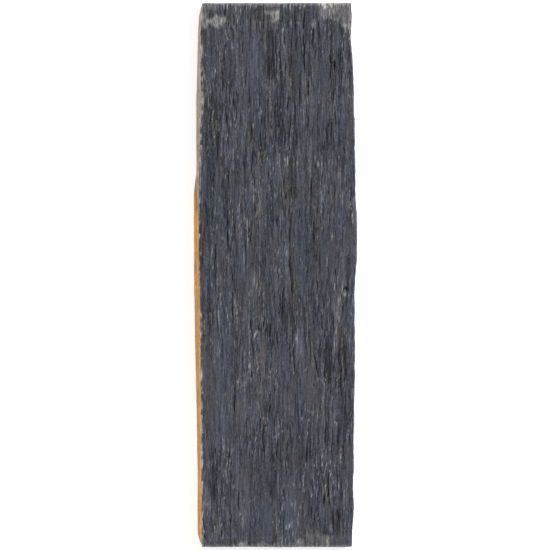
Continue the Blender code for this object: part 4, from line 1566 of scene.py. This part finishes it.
def hang_lights(scene, studio):
    """White light from all round, a soft key light and a low rim light."""
    world = bpy.data.worlds.new("studio_light")
    world.use_nodes = True
    world.node_tree.nodes["Background"].inputs["Color"].default_value = (1.0, 1.0, 1.0, 1.0)
    seen = put(world.node_tree, "ShaderNodeLightPath").outputs["Is Camera Ray"]
    strength = sums(world.node_tree, "MULTIPLY_ADD", seen, 1.0 - studio.sky, studio.sky)
    world.node_tree.links.new(strength, world.node_tree.nodes["Background"].inputs["Strength"])
    scene.world = world
    hang_light("key_light", studio.key, studio.spread, studio.key_azimuth, studio.key_height)
    hang_light("rim_light", studio.rim, studio.spread, studio.rim_azimuth, studio.rim_height)


def hang_light(name, strength, spread, azimuth, height):
    """One soft light from far off, by its direction."""
    flat = math.cos(height)
    towards = Vector((flat * math.cos(azimuth), flat * math.sin(azimuth), math.sin(height)))
    turn = towards.to_track_quat("Z", "Y").to_euler()
    bpy.ops.object.light_add(type="SUN", location=3.0 * towards, rotation=turn)
    light = bpy.context.object
    light.name = light.data.name = name
    light.data.energy = strength
    light.data.angle = spread


def set_camera(scene, studio):
    """A camera straight over the slab's middle, with the head at the top of its view."""
    bpy.ops.object.camera_add(location=(0.0, 0.0, THICKNESS + studio.camera_height), rotation=(0.0, 0.0, 0.0))
    camera = bpy.context.object
    camera.name = camera.data.name = "studio_camera"
    camera.data.lens = camera.data.sensor_width * studio.camera_height / studio.view_width
    scene.camera = camera


class VIEW3D_PT_slate_slab(bpy.types.Panel):
    """Lists the slab, its studio and their settings"""

    bl_label = "Riven Slate Slab"
    bl_idname = "VIEW3D_PT_slate_slab"
    bl_space_type = "VIEW_3D"
    bl_region_type = "UI"
    bl_category = "Slate"

    def draw(self, context):
        scene = context.scene
        for operator, settings in (
            (MESH_OT_riven_slate_slab, (scene.slate_relief, scene.slate_finish)),
            (SCENE_OT_slate_studio, (scene.slate_studio,)),
        ):
            box = self.layout.box()
            for group in settings:
                for name in group.__annotations__:
                    box.prop(group, name)
            box.operator(operator.bl_idname)


SETTINGS = {"slate_relief": SlateRelief, "slate_finish": SlateFinish, "slate_studio": SlateStudio}
CLASSES = (
    SlateRelief, SlateFinish, SlateStudio,
    MESH_OT_riven_slate_slab, SCENE_OT_slate_studio, VIEW3D_PT_slate_slab,
)


def register():
    """Register the classes and hang their settings on the scene."""
    for kind in CLASSES:
        bpy.utils.register_class(kind)
    for name, kind in SETTINGS.items():
        setattr(bpy.types.Scene, name, bpy.props.PointerProperty(type=kind))


def unregister():
    """Take the settings and the classes away again."""
    for name in SETTINGS:
        delattr(bpy.types.Scene, name)
    for kind in reversed(CLASSES):
        bpy.utils.unregister_class(kind)


def main():
    """Make the slab and its studio."""
    register()
    bpy.ops.mesh.riven_slate_slab()
    bpy.ops.scene.slate_studio()


if __name__ == "__main__":
    main()
